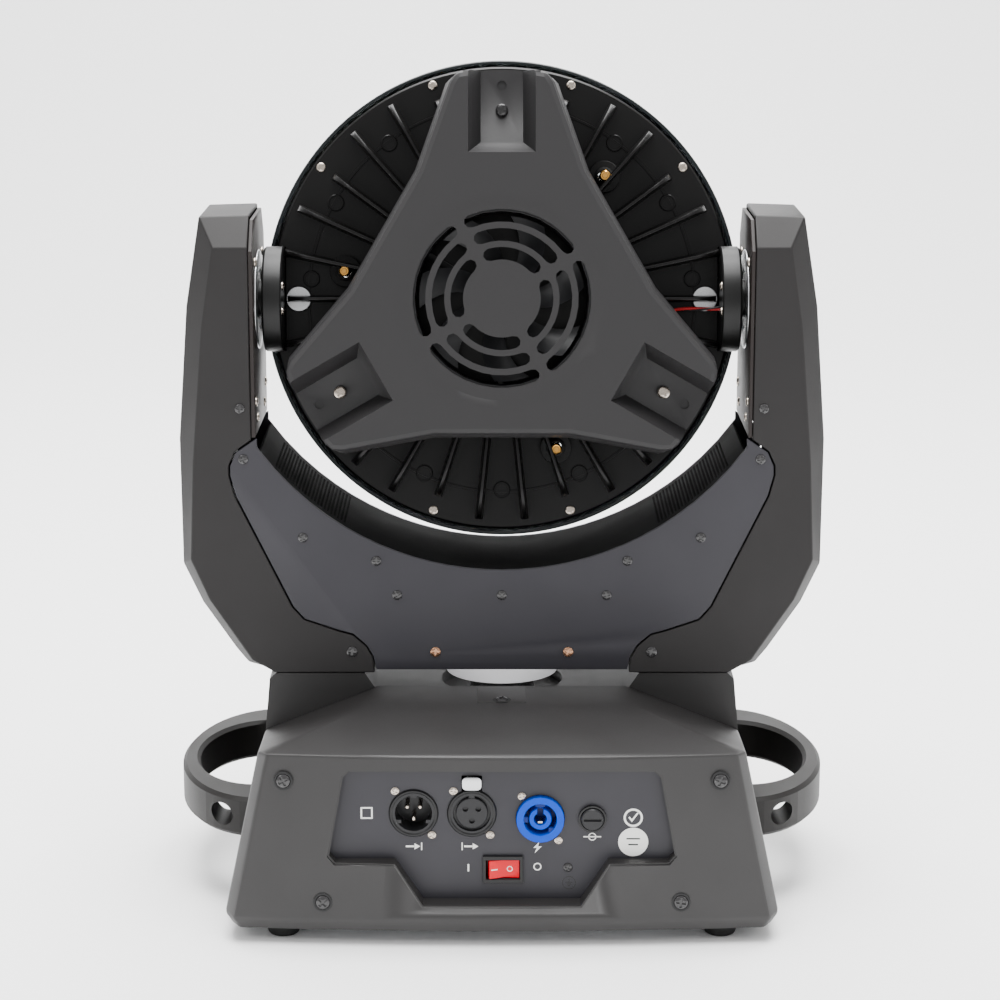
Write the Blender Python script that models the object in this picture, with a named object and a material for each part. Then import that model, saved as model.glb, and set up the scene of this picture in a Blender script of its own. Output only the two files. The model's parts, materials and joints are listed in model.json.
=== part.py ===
"""Moving head light: a floor base, a U-shaped yoke that pans and a round LED head that tilts.

Every separate piece is one named object.  Sizes are in millimetres and become metres when a mesh is made.
The rear of the lamp, with its sockets, faces -Y; the light leaves the head towards +Y.
"""
import math

import bmesh
import bpy
from mathutils import Matrix, Vector

MM = 0.001
GAP = 0.3                     # clearance between pieces that touch

# Driving dimensions, millimetres
BASE_FOOT_Z = 8.0             # underside of the covers above the floor
BASE_WIDE_Z = 14.0            # height where the base is widest
BASE_HALF_X = 145.0
BASE_HALF_Y = 140.0
SIDE_TAPER = 0.211            # half-width lost per millimetre of height
REAR_TAPER = 7.0 / 86.0       # depth lost per millimetre of height
COVER_EDGE_Z = 101.5          # top of the rear wall
COVER_SIDE_Z = 85.0           # top of the side wall beside the centre frame
COVER_TOP_Z = 110.0
COVER_WALL = 2.5
CENTER_HALF_Y = 33.7
SHOULDER_Z = 117.2
SHOULDER_HALF_X = 127.3       # half-width of the centre frame just under its shoulders
CHANNEL_Z = 105.0
WELL_Z = 99.0
SPINDLE_R = 18.0
COLLAR_R = 31.0
COLLAR_BOTTOM_Z = 110.3
PANEL_Y = 126.5               # outer face of the socket and display panels
TILT_Z = 319.0
HEAD_TILT_DEG = -9.0
HEAD_R = 130.0
SINK_R = 125.5
YOKE_HALF_Y = 39.5
BAND_CENTER_Z = 338.0
BAND_R = 161.0
BAND_THICK = 2.0
ARM_INNER_X = 134.3
ARM_MID_Y = 27.0              # the arm's chamfers begin here
ARM_WALL = 2.5
YOKE_FLOOR_Z = 121.0
HANDLE_Z = (39.5, 61.5)
HANDLE_EYE = (151.0, 50.5)    # safety cord hole in each handle: (x, z)
FOOT_SPOT = (115.0, 117.0)
LOBE_ANGLES = (90.0, 210.0, 330.0)
ROD_ANGLES = (50.0, 170.0, 290.0)
ROD_CIRCLE_R = 86.0

# Socket positions on the rear panel: (x, z)
XLR_IN = (-45.9, 69.3)
XLR_OUT = (-15.6, 69.3)
POWER_IN = (19.9, 66.4)
FUSE = (47.0, 66.4)
SWITCH = (0.5, 38.6)

# Display panel on the front: (x, z)
DISPLAY_CENTER = (0.0, 62.0)
SCREEN_CENTER = (-36.0, 62.0)
BUTTON_SPOTS = ((32.0, 73.0), (32.0, 51.0), (20.0, 62.0), (44.0, 62.0))
BUTTON_R = 4.5

FINISHES = {                  # colour, roughness, metallic
    "cover_black": ((0.045, 0.043, 0.043), 0.6, 0.0),
    "panel_grey": ((0.062, 0.060, 0.066), 0.55, 0.2),
    "band_steel": ((0.018, 0.017, 0.017), 0.5, 0.4),
    "sink_black": ((0.014, 0.012, 0.013), 0.45, 0.6),
    "fan_cover": ((0.055, 0.055, 0.057), 0.65, 0.0),
    "bare_steel": ((0.60, 0.60, 0.61), 0.3, 1.0),
    "aluminium": ((0.55, 0.55, 0.56), 0.4, 1.0),
    "brass": ((0.66, 0.48, 0.20), 0.35, 1.0),
    "rubber": ((0.02, 0.02, 0.02), 0.85, 0.0),
    "plastic_black": ((0.02, 0.02, 0.02), 0.4, 0.0),
    "plastic_blue": ((0.05, 0.25, 0.85), 0.35, 0.0),
    "plastic_red": ((0.70, 0.02, 0.05), 0.3, 0.0),
    "wire_red": ((0.45, 0.02, 0.02), 0.45, 0.0),
    "board_white": ((0.75, 0.75, 0.75), 0.5, 0.0),
    "glass": ((0.80, 0.85, 0.88), 0.05, 0.0),
}


# ---------------------------------------------------------------- modelling tools
def clear_scene():
    """Remove every object of the open scene."""
    for obj in list(bpy.data.objects):
        bpy.data.objects.remove(obj, do_unlink=True)


def material(finish):
    """Return the Principled material of a finish, made once."""
    found = bpy.data.materials.get(finish)
    if found:
        return found
    color, roughness, metallic = FINISHES[finish]
    mat = bpy.data.materials.new(finish)
    mat.use_nodes = True
    shader = mat.node_tree.nodes["Principled BSDF"]
    shader.inputs["Base Color"].default_value = (*color, 1.0)
    shader.inputs["Roughness"].default_value = roughness
    shader.inputs["Metallic"].default_value = metallic
    return mat


def pivot(name, location, tilt_deg=0.0, parent=None):
    """An empty on a joint's axis, in millimetres; tilt_deg turns it about X."""
    empty = bpy.data.objects.new(name, None)
    bpy.context.scene.collection.objects.link(empty)
    empty.location = Vector(location) * MM
    empty.rotation_euler = (math.radians(tilt_deg), 0.0, 0.0)
    empty.parent = parent
    return empty


def add_object(name, bm, finish, frame=None, outward_from=None, smooth_deg=30.0):
    """Turn a bmesh in millimetres into a named object; outward_from is a point inside an open shell."""
    bmesh.ops.recalc_face_normals(bm, faces=bm.faces)
    if outward_from is not None:
        inside = Vector(outward_from)
        flow = sum(f.calc_area() * f.normal.dot(f.calc_center_median() - inside) for f in bm.faces)
        if flow < 0.0:
            bmesh.ops.reverse_faces(bm, faces=bm.faces)
    bmesh.ops.scale(bm, vec=(MM, MM, MM), verts=bm.verts)
    mesh = bpy.data.meshes.new(name)
    bm.to_mesh(mesh)
    bm.free()
    mesh.shade_smooth()
    mesh.set_sharp_from_angle(angle=math.radians(smooth_deg))
    obj = bpy.data.objects.new(name, mesh)
    bpy.context.scene.collection.objects.link(obj)
    if finish:
        mesh.materials.append(material(finish))
    obj.parent = frame
    return obj


def combine(obj, bm, operation="DIFFERENCE"):
    """Cut a bmesh from obj, or join it on, with a Boolean modifier."""
    count = len(obj.modifiers)
    tool = add_object(f"tool_{obj.name}_{count}", bm, None, obj.parent)
    tool.hide_render = True
    tool.display_type = "WIRE"
    tool.hide_set(True)
    modifier = obj.modifiers.new(f"shape_{count}", "BOOLEAN")
    modifier.operation = operation
    modifier.object = tool
    modifier.solver = "EXACT"
    return obj


def solidify(obj, thickness):
    """Thicken an open surface inward into one closed shell."""
    modifier = obj.modifiers.new("wall", "SOLIDIFY")
    modifier.thickness = thickness * MM
    modifier.offset = -1.0
    modifier.use_even_offset = True


def bevel_sharp(bm, width, segments=2, angle_deg=25.0):
    """Round the edges of a bmesh that are sharper than an angle and not on a border."""
    bmesh.ops.recalc_face_normals(bm, faces=bm.faces)
    edges = [e for e in bm.edges
             if len(e.link_faces) == 2 and e.calc_face_angle() > math.radians(angle_deg)]
    bmesh.ops.bevel(bm, geom=edges, offset=width, segments=segments, profile=0.5,
                    affect="EDGES", clamp_overlap=True)
    return bm


def place(axis, u, v, t):
    """A point whose outline coordinates are (u, v) and whose distance along the axis is t."""
    return {"X": (t, u, v), "Y": (u, t, v), "Z": (u, v, t)}[axis]


def prism(outline, axis, low, high, bm=None):
    """A straight prism of a closed 2-D outline between two distances along an axis."""
    bm = bm or bmesh.new()
    lower = [bm.verts.new(place(axis, u, v, low)) for u, v in outline]
    upper = [bm.verts.new(place(axis, u, v, high)) for u, v in outline]
    bm.faces.new(lower)
    bm.faces.new(upper)
    for i in range(len(outline)):
        j = (i + 1) % len(outline)
        bm.faces.new((lower[i], lower[j], upper[j], upper[i]))
    return bm


def box(low, high, bm=None):
    """An axis-aligned block between two corners."""
    outline = [(low[0], low[1]), (high[0], low[1]), (high[0], high[1]), (low[0], high[1])]
    return prism(outline, "Z", low[2], high[2], bm)


def lathe(profile, axis, center=(0.0, 0.0), steps=48, bm=None):
    """Turn a closed profile of (radius, distance) points about an axis through center.

    A point on the axis closes the end of the piece with one flat face.
    """
    bm = bm or bmesh.new()
    rings = []
    for radius, t in profile:
        if radius < 1e-6:
            rings.append(None)
            continue
        ring = []
        for k in range(steps):
            a = 2.0 * math.pi * k / steps
            ring.append(bm.verts.new(place(axis, center[0] + radius * math.cos(a),
                                           center[1] + radius * math.sin(a), t)))
        rings.append(ring)
    for i, ring in enumerate(rings):
        following = rings[(i + 1) % len(rings)]
        if ring and following:
            for k in range(steps):
                m = (k + 1) % steps
                bm.faces.new((ring[k], ring[m], following[m], following[k]))
        elif ring or following:
            bm.faces.new(ring or following)
    return bm


def rod(axis, center, radius, low, high, steps=32, bm=None):
    """A plain cylinder along an axis."""
    return lathe([(0.0, low), (radius, low), (radius, high), (0.0, high)], axis, center, steps, bm)


def arc(center, radius, start_deg, end_deg, count):
    """Points of a circular arc."""
    return [(center[0] + radius * math.cos(math.radians(start_deg + (end_deg - start_deg) * k / count)),
             center[1] + radius * math.sin(math.radians(start_deg + (end_deg - start_deg) * k / count)))
            for k in range(count + 1)]


def grow(outline, distance):
    """Offset a closed anticlockwise outline outward by a distance, with mitred corners."""
    result = []
    for i, point in enumerate(outline):
        before, here, after = (Vector(outline[i - 1]), Vector(point),
                               Vector(outline[(i + 1) % len(outline)]))
        e1, e2 = (here - before).normalized(), (after - here).normalized()
        n1, n2 = Vector((e1.y, -e1.x)), Vector((e2.y, -e2.x))
        spread = max(1.0 + n1.dot(n2), 0.2)
        shifted = here + (n1 + n2) * (distance / spread)
        result.append((shifted.x, shifted.y))
    return result


def rounded_rect(half_u, half_v, radius, center=(0.0, 0.0), count=4):
    """Anticlockwise rectangle with round corners."""
    points = []
    for su, sv, start in ((1, -1, -90), (1, 1, 0), (-1, 1, 90), (-1, -1, 180)):
        corner = (center[0] + su * (half_u - radius), center[1] + sv * (half_v - radius))
        points += arc(corner, radius, start, start + 90, count)
    return points


def mirrored(outline):
    """The same outline on the other side of X = 0, still anticlockwise."""
    return [(-u, v) for u, v in reversed(outline)]


# ---------------------------------------------------------------- base
def side_x(z):
    """Half-width of the base at a height."""
    return BASE_HALF_X - SIDE_TAPER * (z - BASE_WIDE_Z)


def rear_y(z):
    """Half-depth of the base at a height, on its centre line."""
    return BASE_HALF_Y - REAR_TAPER * (z - BASE_WIDE_Z)


REAR_SAG = 6.0                # how much the rear wall curves back towards its corners
CORNER_X = 5.0                # the chamfer of an upright corner, sideways and in depth
CORNER_Y = 9.0


def plan_outline(half_x, half_y, split):
    """Plan of a half base behind Y = -split, from its left end round the rear to its right end."""
    flat = half_x - CORNER_X
    rear = [(flat * s, -half_y + REAR_SAG * s * s) for s in (-1.0, -0.75, -0.45, -0.15, 0.15, 0.45, 0.75, 1.0)]
    side_y = rear[0][1] + CORNER_Y
    return [(-half_x, -split), (-half_x, side_y)] + rear + [(half_x, side_y), (half_x, -split)]


def cover_surface(sign):
    """Open surface of a base cover; sign -1 is the rear, +1 the front."""
    split = CENTER_HALF_Y + GAP
    bm = bmesh.new()

    def vert(x, y, z):
        return bm.verts.new((x, y if sign < 0 else -y, z))

    low = [vert(x, y, BASE_FOOT_Z) for x, y in plan_outline(BASE_HALF_X - 3.0, BASE_HALF_Y - 3.0, split)]
    wide = [vert(x, y, BASE_WIDE_Z) for x, y in plan_outline(BASE_HALF_X, BASE_HALF_Y, split)]
    top_plan = plan_outline(side_x(COVER_EDGE_Z), rear_y(COVER_EDGE_Z), split)
    bend_y = top_plan[2][1]
    top = []
    for x, y in top_plan:
        z = COVER_EDGE_Z
        if y > bend_y + 1.0:
            z -= (COVER_EDGE_Z - COVER_SIDE_Z) * (y - bend_y) / (-split - bend_y)
            x = math.copysign(side_x(z), x)
        top.append(vert(x, y, z))
    for lower, upper in ((low, wide), (wide, top)):
        for i in range(len(lower) - 1):
            bm.faces.new((lower[i], lower[i + 1], upper[i + 1], upper[i]))
    a_left, a_right = vert(-68.0, -split, COVER_TOP_Z), vert(68.0, -split, COVER_TOP_Z)
    b_left, b_right = vert(-68.0, -66.0, COVER_TOP_Z), vert(68.0, -66.0, COVER_TOP_Z)
    bm.faces.new((a_left, b_left, b_right, a_right))
    last = len(top) - 1
    for i in range(2, last - 2):
        if i == last // 2:
            bm.faces.new((top[i], top[i + 1], b_right, b_left))
        else:
            bm.faces.new((top[i], top[i + 1], b_left if i < last // 2 else b_right))
    for i in range(2):
        bm.faces.new((top[i], top[i + 1], b_left))
        bm.faces.new((top[last - i], top[last - i - 1], b_right))
    bm.faces.new((top[0], b_left, a_left))
    bm.faces.new((top[last], b_right, a_right))
    return bevel_sharp(bm, 1.6, 2, 25.0)


def recess_outline():
    """Outline of the socket recess, with its stepped lower corners, anticlockwise in X and Z."""
    right = [(41.0, 22.5), (55.5, 44.6), (86.5, 44.6), (89.6, 48.3), (82.0, 89.8), (78.6, 92.9)]
    return right + mirrored(right)


def display_outline():
    """Outline of the display recess in the front cover."""
    return rounded_rect(72.0, 24.0, 6.0, DISPLAY_CENTER, 2)


def cover(name, sign, outline):
    """Shell of a base cover with a framed recess cut into its upright wall."""
    obj = add_object(name, cover_surface(sign), "cover_black", outward_from=(0.0, sign * 80.0, 60.0))
    solidify(obj, COVER_WALL)
    combine(obj, prism(grow(outline, 1.0), "Y", sign * 120.0, sign * 155.0))
    rim = bmesh.new()
    rings = []
    for edge in (outline, grow(outline, 2.2)):
        rings.append([rim.verts.new((x, sign * (rear_y(z) - REAR_SAG * (x / 112.0) ** 2 - 0.5), z))
                      for x, z in edge])
        rings.append([rim.verts.new((x, sign * (PANEL_Y + GAP), z)) for x, z in edge])
    inner_far, inner_near, outer_far, outer_near = rings
    for first, second in ((inner_far, inner_near), (inner_near, outer_near),
                          (outer_near, outer_far), (outer_far, inner_far)):
        for i in range(len(outline)):
            j = (i + 1) % len(outline)
            rim.faces.new((first[i], first[j], second[j], second[i]))
    combine(obj, rim, "UNION")
    return obj


def center_frame():
    """Middle bridge of the base: two shoulders, a channel and a well for the pan bearing."""
    bend = (side_x(COVER_SIDE_Z), COVER_SIDE_Z)
    right = [(BASE_HALF_X - 3.0, BASE_FOOT_Z), (BASE_HALF_X, BASE_WIDE_Z), bend, (SHOULDER_HALF_X, 114.0),
             (SHOULDER_HALF_X - 3.5, SHOULDER_Z), (75.0, SHOULDER_Z), (67.0, CHANNEL_Z)]
    obj = add_object("base_center_frame",
                     prism(right + mirrored(right), "Y", -CENTER_HALF_Y, CENTER_HALF_Y), "cover_black")
    cavity = [(BASE_HALF_X - 6.2, BASE_FOOT_Z - 1.0), (BASE_HALF_X - 3.2, BASE_WIDE_Z), (bend[0] - 3.0, bend[1]),
              (SHOULDER_HALF_X - 3.0, 112.0), (78.0, 114.0), (70.0, 95.0)]
    combine(obj, prism(cavity + mirrored(cavity), "Y", 3.0 - CENTER_HALF_Y, CENTER_HALF_Y - 3.0))
    combine(obj, box((-137.0, -50.0, 5.0), (137.0, 50.0, 13.3)))
    combine(obj, rod("Z", (0.0, 0.0), 34.0, WELL_Z, 130.0))
    combine(obj, rod("Z", (0.0, 0.0), SPINDLE_R + GAP, 80.0, 130.0, 28))
    combine(obj, box((-40.0, -50.0, 30.0), (40.0, 50.0, 70.0)))
    return obj


def handle(name, sign):
    """Carrying handle: an oval band that meets the tapered side of the base."""
    outer = [(130.0 + 49.0 * math.cos(a), 82.0 * math.sin(a))
             for a in (math.radians(-90 + 180 * k / 28) for k in range(29))]
    inner = [(134.0 + 35.5 * math.cos(a), 56.0 * math.sin(a))
             for a in (math.radians(90 - 180 * k / 24) for k in range(25))]
    outline = [(sign * x, y) for x, y in outer + inner]
    bm = prism(outline, "Z", *HANDLE_Z)
    obj = add_object(name, bevel_sharp(bm, 2.0, 1, 40.0), "cover_black")
    wall = [(sign * 90.0, 0.0), (sign * (side_x(0.0) + GAP), 0.0),
            (sign * (side_x(90.0) + GAP), 90.0), (sign * 90.0, 90.0)]
    combine(obj, prism(wall, "Y", -120.0, 120.0))
    combine(obj, rod("Y", (sign * HANDLE_EYE[0], HANDLE_EYE[1]), 6.25, -100.0, -20.0, 24))
    return obj


def socket_cup(name, center, outer_r, inner_r, depth, proud, finish):
    """Round chassis socket: a cup through the rear panel with a flange behind it."""
    face = -(PANEL_Y + proud)
    back = -(PANEL_Y - 2.0 - GAP)
    profile = [(0.0, face + depth), (inner_r, face + depth), (inner_r, face), (outer_r, face),
               (outer_r, back), (outer_r + 1.8, back), (outer_r + 1.8, back + 2.0),
               (outer_r - 1.0, back + 2.0), (outer_r - 1.0, face + depth + 3.0), (0.0, face + depth + 3.0)]
    return add_object(name, lathe(profile, "Y", center, 24), finish)


def connector_panel():
    """Flat sheet behind the rear recess with a hole for each socket."""
    obj = add_object("connector_panel", prism(grow(recess_outline(), 1.6), "Y", -PANEL_Y, 2.0 - PANEL_Y),
                     "panel_grey")
    for center, radius in ((XLR_IN, 12.45), (XLR_OUT, 12.45), (POWER_IN, 12.8), (FUSE, 7.2)):
        combine(obj, rod("Y", center, radius, -140.0, -115.0, 24))
    combine(obj, box((SWITCH[0] - 9.9, -140.0, SWITCH[1] - 6.9), (SWITCH[0] + 9.9, -115.0, SWITCH[1] + 6.9)))
    combine(obj, box((XLR_OUT[0] - 5.3, -140.0, XLR_OUT[1] + 12.0),
                     (XLR_OUT[0] + 5.3, -115.0, XLR_OUT[1] + 20.4)))
    return obj


def sockets():
    """Everything that is fixed in the rear panel."""
    connector_panel()
    socket_cup("xlr_in_socket", XLR_IN, 12.15, 9.6, 14.0, 0.8, "plastic_black")
    socket_cup("power_inlet", POWER_IN, 12.5, 8.6, 16.0, 3.0, "plastic_blue")
    face = -(PANEL_Y + 0.8)
    back = -(PANEL_Y - 2.0 - GAP)
    add_object("xlr_out_socket", lathe(
        [(0.0, face + 2.2), (9.8, face + 2.2), (9.8, face), (12.15, face), (12.15, back),
         (12.7, back), (12.7, back + 2.0), (11.0, back + 2.0), (11.0, face + 18.0), (0.0, face + 18.0)],
        "Y", XLR_OUT, 24), "plastic_black")
    face = -(PANEL_Y + 2.0)
    add_object("fuse_holder", lathe(
        [(6.3, face), (7.4, face), (7.4, -PANEL_Y - GAP), (6.9, -PANEL_Y - GAP), (6.9, -100.0),
         (0.0, -100.0), (0.0, -105.0), (6.3, -105.0)], "Y", FUSE, 20), "plastic_black")
    x, z = SWITCH
    bezel = box((x - 9.6, -PANEL_Y - GAP - 0.2, z - 6.6), (x + 9.6, -110.0, z + 6.6))
    switch = add_object("switch_bezel", bezel, "plastic_black")
    combine(switch, box((x - 10.5, -PANEL_Y - 2.0, z - 7.5), (x + 10.5, -PANEL_Y - GAP, z + 7.5)), "UNION")
    combine(switch, box((x - 8.8, -140.0, z - 5.2), (x + 8.8, -117.0, z + 5.2)))


ROCKER_Y = 4.0 - PANEL_Y      # rocker pivot, behind the panel face
ROCKER_REST_DEG = 8.0


def small_controls():
    """The pieces of the base that a finger or a screwdriver moves."""
    x, z = SWITCH
    axis = pivot("switch_axis", (x, ROCKER_Y, z))
    turn = Matrix.Rotation(math.radians(ROCKER_REST_DEG), 2)
    shape = [(-7.9, -5.6), (0.0, -3.9), (7.9, -5.6), (7.9, -0.5), (4.0, 3.0), (-4.0, 3.0), (-7.9, -0.5)]
    rocker = [tuple(turn @ Vector(p)) for p in shape]
    add_object("power_switch_rocker", prism(rocker, "Z", -4.9, 4.9), "plastic_red", axis)
    fuse_axis = pivot("fuse_axis", (FUSE[0], 0.0, FUSE[1]))
    face = -(PANEL_Y + 3.4)
    cap = add_object("fuse_cap", lathe([(0.0, face), (5.4, face), (6.0, face + 0.6), (6.0, -112.0),
                                        (0.0, -112.0)], "Y", (0.0, 0.0), 20), "plastic_black", fuse_axis)
    combine(cap, box((-4.5, -140.0, -0.6), (4.5, face + 1.4, 0.6)))
    latch = box((XLR_OUT[0] - 5.0, -PANEL_Y - 2.4, XLR_OUT[1] + 12.9),
                (XLR_OUT[0] + 5.0, -117.0, XLR_OUT[1] + 20.1))
    add_object("xlr_latch_tab", bevel_sharp(latch, 0.8, 2, 40.0), "bare_steel")


def display():
    """Front panel with a screen window and four push buttons."""
    outline = grow(display_outline(), 1.6)
    panel = add_object("display_panel", prism(outline, "Y", PANEL_Y - 2.0, PANEL_Y), "panel_grey")
    combine(panel, prism(rounded_rect(26.0, 15.0, 2.0, SCREEN_CENTER, 2), "Y", 115.0, 140.0))
    for spot in BUTTON_SPOTS:
        combine(panel, rod("Y", spot, BUTTON_R + GAP, 115.0, 140.0, 16))
    screen = box((-70.0, PANEL_Y - 8.0, 42.0), (-4.0, PANEL_Y - 2.0 - GAP, 82.0))
    obj = add_object("display_module", screen, "plastic_black")
    combine(obj, prism(rounded_rect(25.6, 14.6, 2.0, SCREEN_CENTER, 2), "Y", PANEL_Y - 4.0,
                       PANEL_Y - 0.6), "UNION")
    for number, spot in enumerate(BUTTON_SPOTS, 1):
        button = lathe([(0.0, PANEL_Y - 6.0), (5.4, PANEL_Y - 6.0), (5.4, PANEL_Y - 3.6),
                        (BUTTON_R, PANEL_Y - 3.6), (BUTTON_R, PANEL_Y + 1.4), (BUTTON_R - 0.7, PANEL_Y + 2.0),
                        (0.0, PANEL_Y + 2.0)], "Y", spot, 16)
        add_object(f"menu_button_{number}", button, "rubber")


def foot(name, x, y):
    """Round rubber foot, wider at the top."""
    profile = [(0.0, 0.0), (7.2, 0.0), (8.0, 0.8), (10.5, 8.0), (10.5, 10.7), (0.0, 10.7)]
    return add_object(name, lathe(profile, "Z", (x, y), 24), "rubber")


def base():
    """All fixed pieces of the base."""
    rear = plan_outline(134.0, 131.0, 0.0)
    plate = rear[1:-1] + [(-x, -y) for x, y in rear[1:-1]]
    add_object("base_plate", prism(plate, "Z", 11.0, 13.0), "bare_steel")
    for side, sign in (("left", -1), ("right", 1)):
        handle(f"handle_{side}", sign)
    cover("base_rear_cover", -1, recess_outline())
    cover("base_front_cover", 1, display_outline())
    center_frame()
    for number, (sx, sy) in enumerate(((-1, -1), (1, -1), (-1, 1), (1, 1)), 1):
        foot(f"rubber_foot_{number}", sx * FOOT_SPOT[0], sy * FOOT_SPOT[1])
    add_object("power_supply", box((-110.0, 42.0, 13.3), (10.0, 108.0, 50.0)), "aluminium")
    spindle = [(12.0, 90.5), (30.0, 90.5), (30.0, 94.7), (SPINDLE_R, 94.7), (SPINDLE_R, 150.0), (12.0, 150.0)]
    add_object("pan_spindle", lathe(spindle, "Z", steps=28), "bare_steel")
    pulley = [(SPINDLE_R + GAP, 126.0), (34.0, 126.0), (34.0, 138.0), (SPINDLE_R + GAP, 138.0)]
    add_object("pan_ring_pulley", lathe(pulley, "Z", steps=28), "aluminium")


# ---------------------------------------------------------------- yoke
PANEL_LEFT = [(-131.3, 249.6), (-142.5, 242.0), (-145.8, 234.5), (-145.9, 229.4), (-142.9, 218.1),
              (-113.1, 156.7), (-106.9, 149.6), (-88.3, 143.2), (-80.8, 141.2), (-73.4, 134.7),
              (-69.7, 128.2), (-68.5, YOKE_FLOOR_Z)]
ARM_REAR = [(-ARM_INNER_X, 352.0), (-152.7, 352.0), (-159.4, 308.5), (-165.8, 232.4), (-168.0, 182.6),
            (-158.4, 160.3), (-141.4, 134.9), (-135.8, 126.4), (-123.0, 119.1)]
ARM_MIDDLE = [(-ARM_INNER_X, 368.0), (-160.8, 367.2), (-168.6, 319.0), (-174.0, 247.0), (-173.6, 178.0),
              (-163.4, 156.0), (-145.8, 130.0), (-139.2, 121.8), (-130.0, 119.1)]


def band_z(x, radius):
    """Height of the arc of the yoke's band at a sideways distance."""
    return BAND_CENTER_Z - math.sqrt(radius * radius - x * x)


def yoke_panel(name, sign):
    """Flat cover plate on one face of the yoke, with the band's arc as its upper edge."""
    right = [(-x, z) for x, z in reversed(PANEL_LEFT)]
    edge = [(x, band_z(x, BAND_R)) for x in (131.3 - 262.6 * k / 28 for k in range(29))]
    low, high = sorted((sign * YOKE_HALF_Y, sign * (YOKE_HALF_Y - 2.0)))
    return add_object(name, prism(PANEL_LEFT + right + edge, "Y", low, high), "panel_grey")


def yoke_band():
    """Curved steel strip that closes the yoke below the head."""
    reach = math.asin(131.3 / (BAND_R + BAND_THICK))
    angles = [-reach + 2.0 * reach * k / 40 for k in range(41)]
    outer = [((BAND_R + BAND_THICK) * math.sin(a), BAND_CENTER_Z - (BAND_R + BAND_THICK) * math.cos(a))
             for a in angles]
    inner = [(BAND_R * math.sin(a), BAND_CENTER_Z - BAND_R * math.cos(a)) for a in reversed(angles)]
    half_y = YOKE_HALF_Y - 2.0 - GAP
    return add_object("yoke_band", prism(outer + inner, "Y", -half_y, half_y), "band_steel")


def arm_cover(name, sign):
    """Outer shell of one arm: two faces with chamfers round a side wall, open towards the middle."""
    closed = PANEL_LEFT + [(0.0, YOKE_FLOOR_Z), (0.0, PANEL_LEFT[0][1])]
    seam = grow(closed, 0.8)[1:len(PANEL_LEFT) - 1]
    seam = [(-69.3, 119.1)] + seam[::-1] + [(-ARM_INNER_X, 248.8)]
    bm = bmesh.new()

    def ring(points, y):
        return [bm.verts.new((-sign * x, y, z)) for x, z in points]

    end = [(-69.3, 119.1)]
    rear, rear_mid = ring(ARM_REAR, -YOKE_HALF_Y), ring(ARM_MIDDLE + end, -ARM_MID_Y)
    front, front_mid = ring(ARM_REAR, YOKE_HALF_Y), ring(ARM_MIDDLE + end, ARM_MID_Y)
    rear_seam, front_seam = ring(seam, -YOKE_HALF_Y), ring(seam, YOKE_HALF_Y)
    for face, middle, edge in ((rear, rear_mid, rear_seam), (front, front_mid, front_seam)):
        bm.faces.new(face + edge)
        outline = face + edge[:1]
        for i in range(len(outline) - 1):
            bm.faces.new((outline[i], outline[i + 1], middle[i + 1], middle[i]))
    for i in range(len(rear_mid) - 1):
        bm.faces.new((rear_mid[i], rear_mid[i + 1], front_mid[i + 1], front_mid[i]))
    obj = add_object(name, bm, "cover_black", outward_from=(sign * 140.0, 0.0, 200.0))
    solidify(obj, ARM_WALL)
    obj.modifiers.new("flat_facets", "TRIANGULATE")   # the chamfers twist, so their faces aren't flat
    return obj


def arm_plate(name, sign):
    """Flat inner plate of an arm, with the hole for the tilt bearing."""
    outline = [(-38.8, 250.0), (38.8, 250.0), (38.8, 350.0), (26.5, 365.5), (-26.5, 365.5), (-38.8, 350.0)]
    low, high = sorted((sign * 132.0, sign * 134.0))
    obj = add_object(name, prism(outline, "X", low, high), "band_steel")
    combine(obj, rod("X", (0.0, TILT_Z), 15.0, sign * 125.0, sign * 145.0, 24))
    return obj


def belt(name, axis, big, big_r, small, small_r, low, high, frame):
    """Toothless flat belt round two pulleys, as a closed band."""
    start, end = Vector(big), Vector(small)
    along = (end - start).normalized()
    heading = math.degrees(math.atan2(along.y, along.x))
    lean = math.degrees(math.acos((big_r - small_r) / (end - start).length))

    def loop(extra):
        return (arc(big, big_r + extra, heading + lean, heading + 360.0 - lean, 24)
                + arc(small, small_r + extra, heading - lean, heading + lean, 10))

    obj = add_object(name, prism(loop(1.8), axis, low, high), "rubber", frame)
    combine(obj, prism(loop(GAP), axis, low - 5.0, high + 5.0))
    return obj


PAN_MOTOR_X = 75.0
TILT_MOTOR_Z = 221.0


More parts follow.
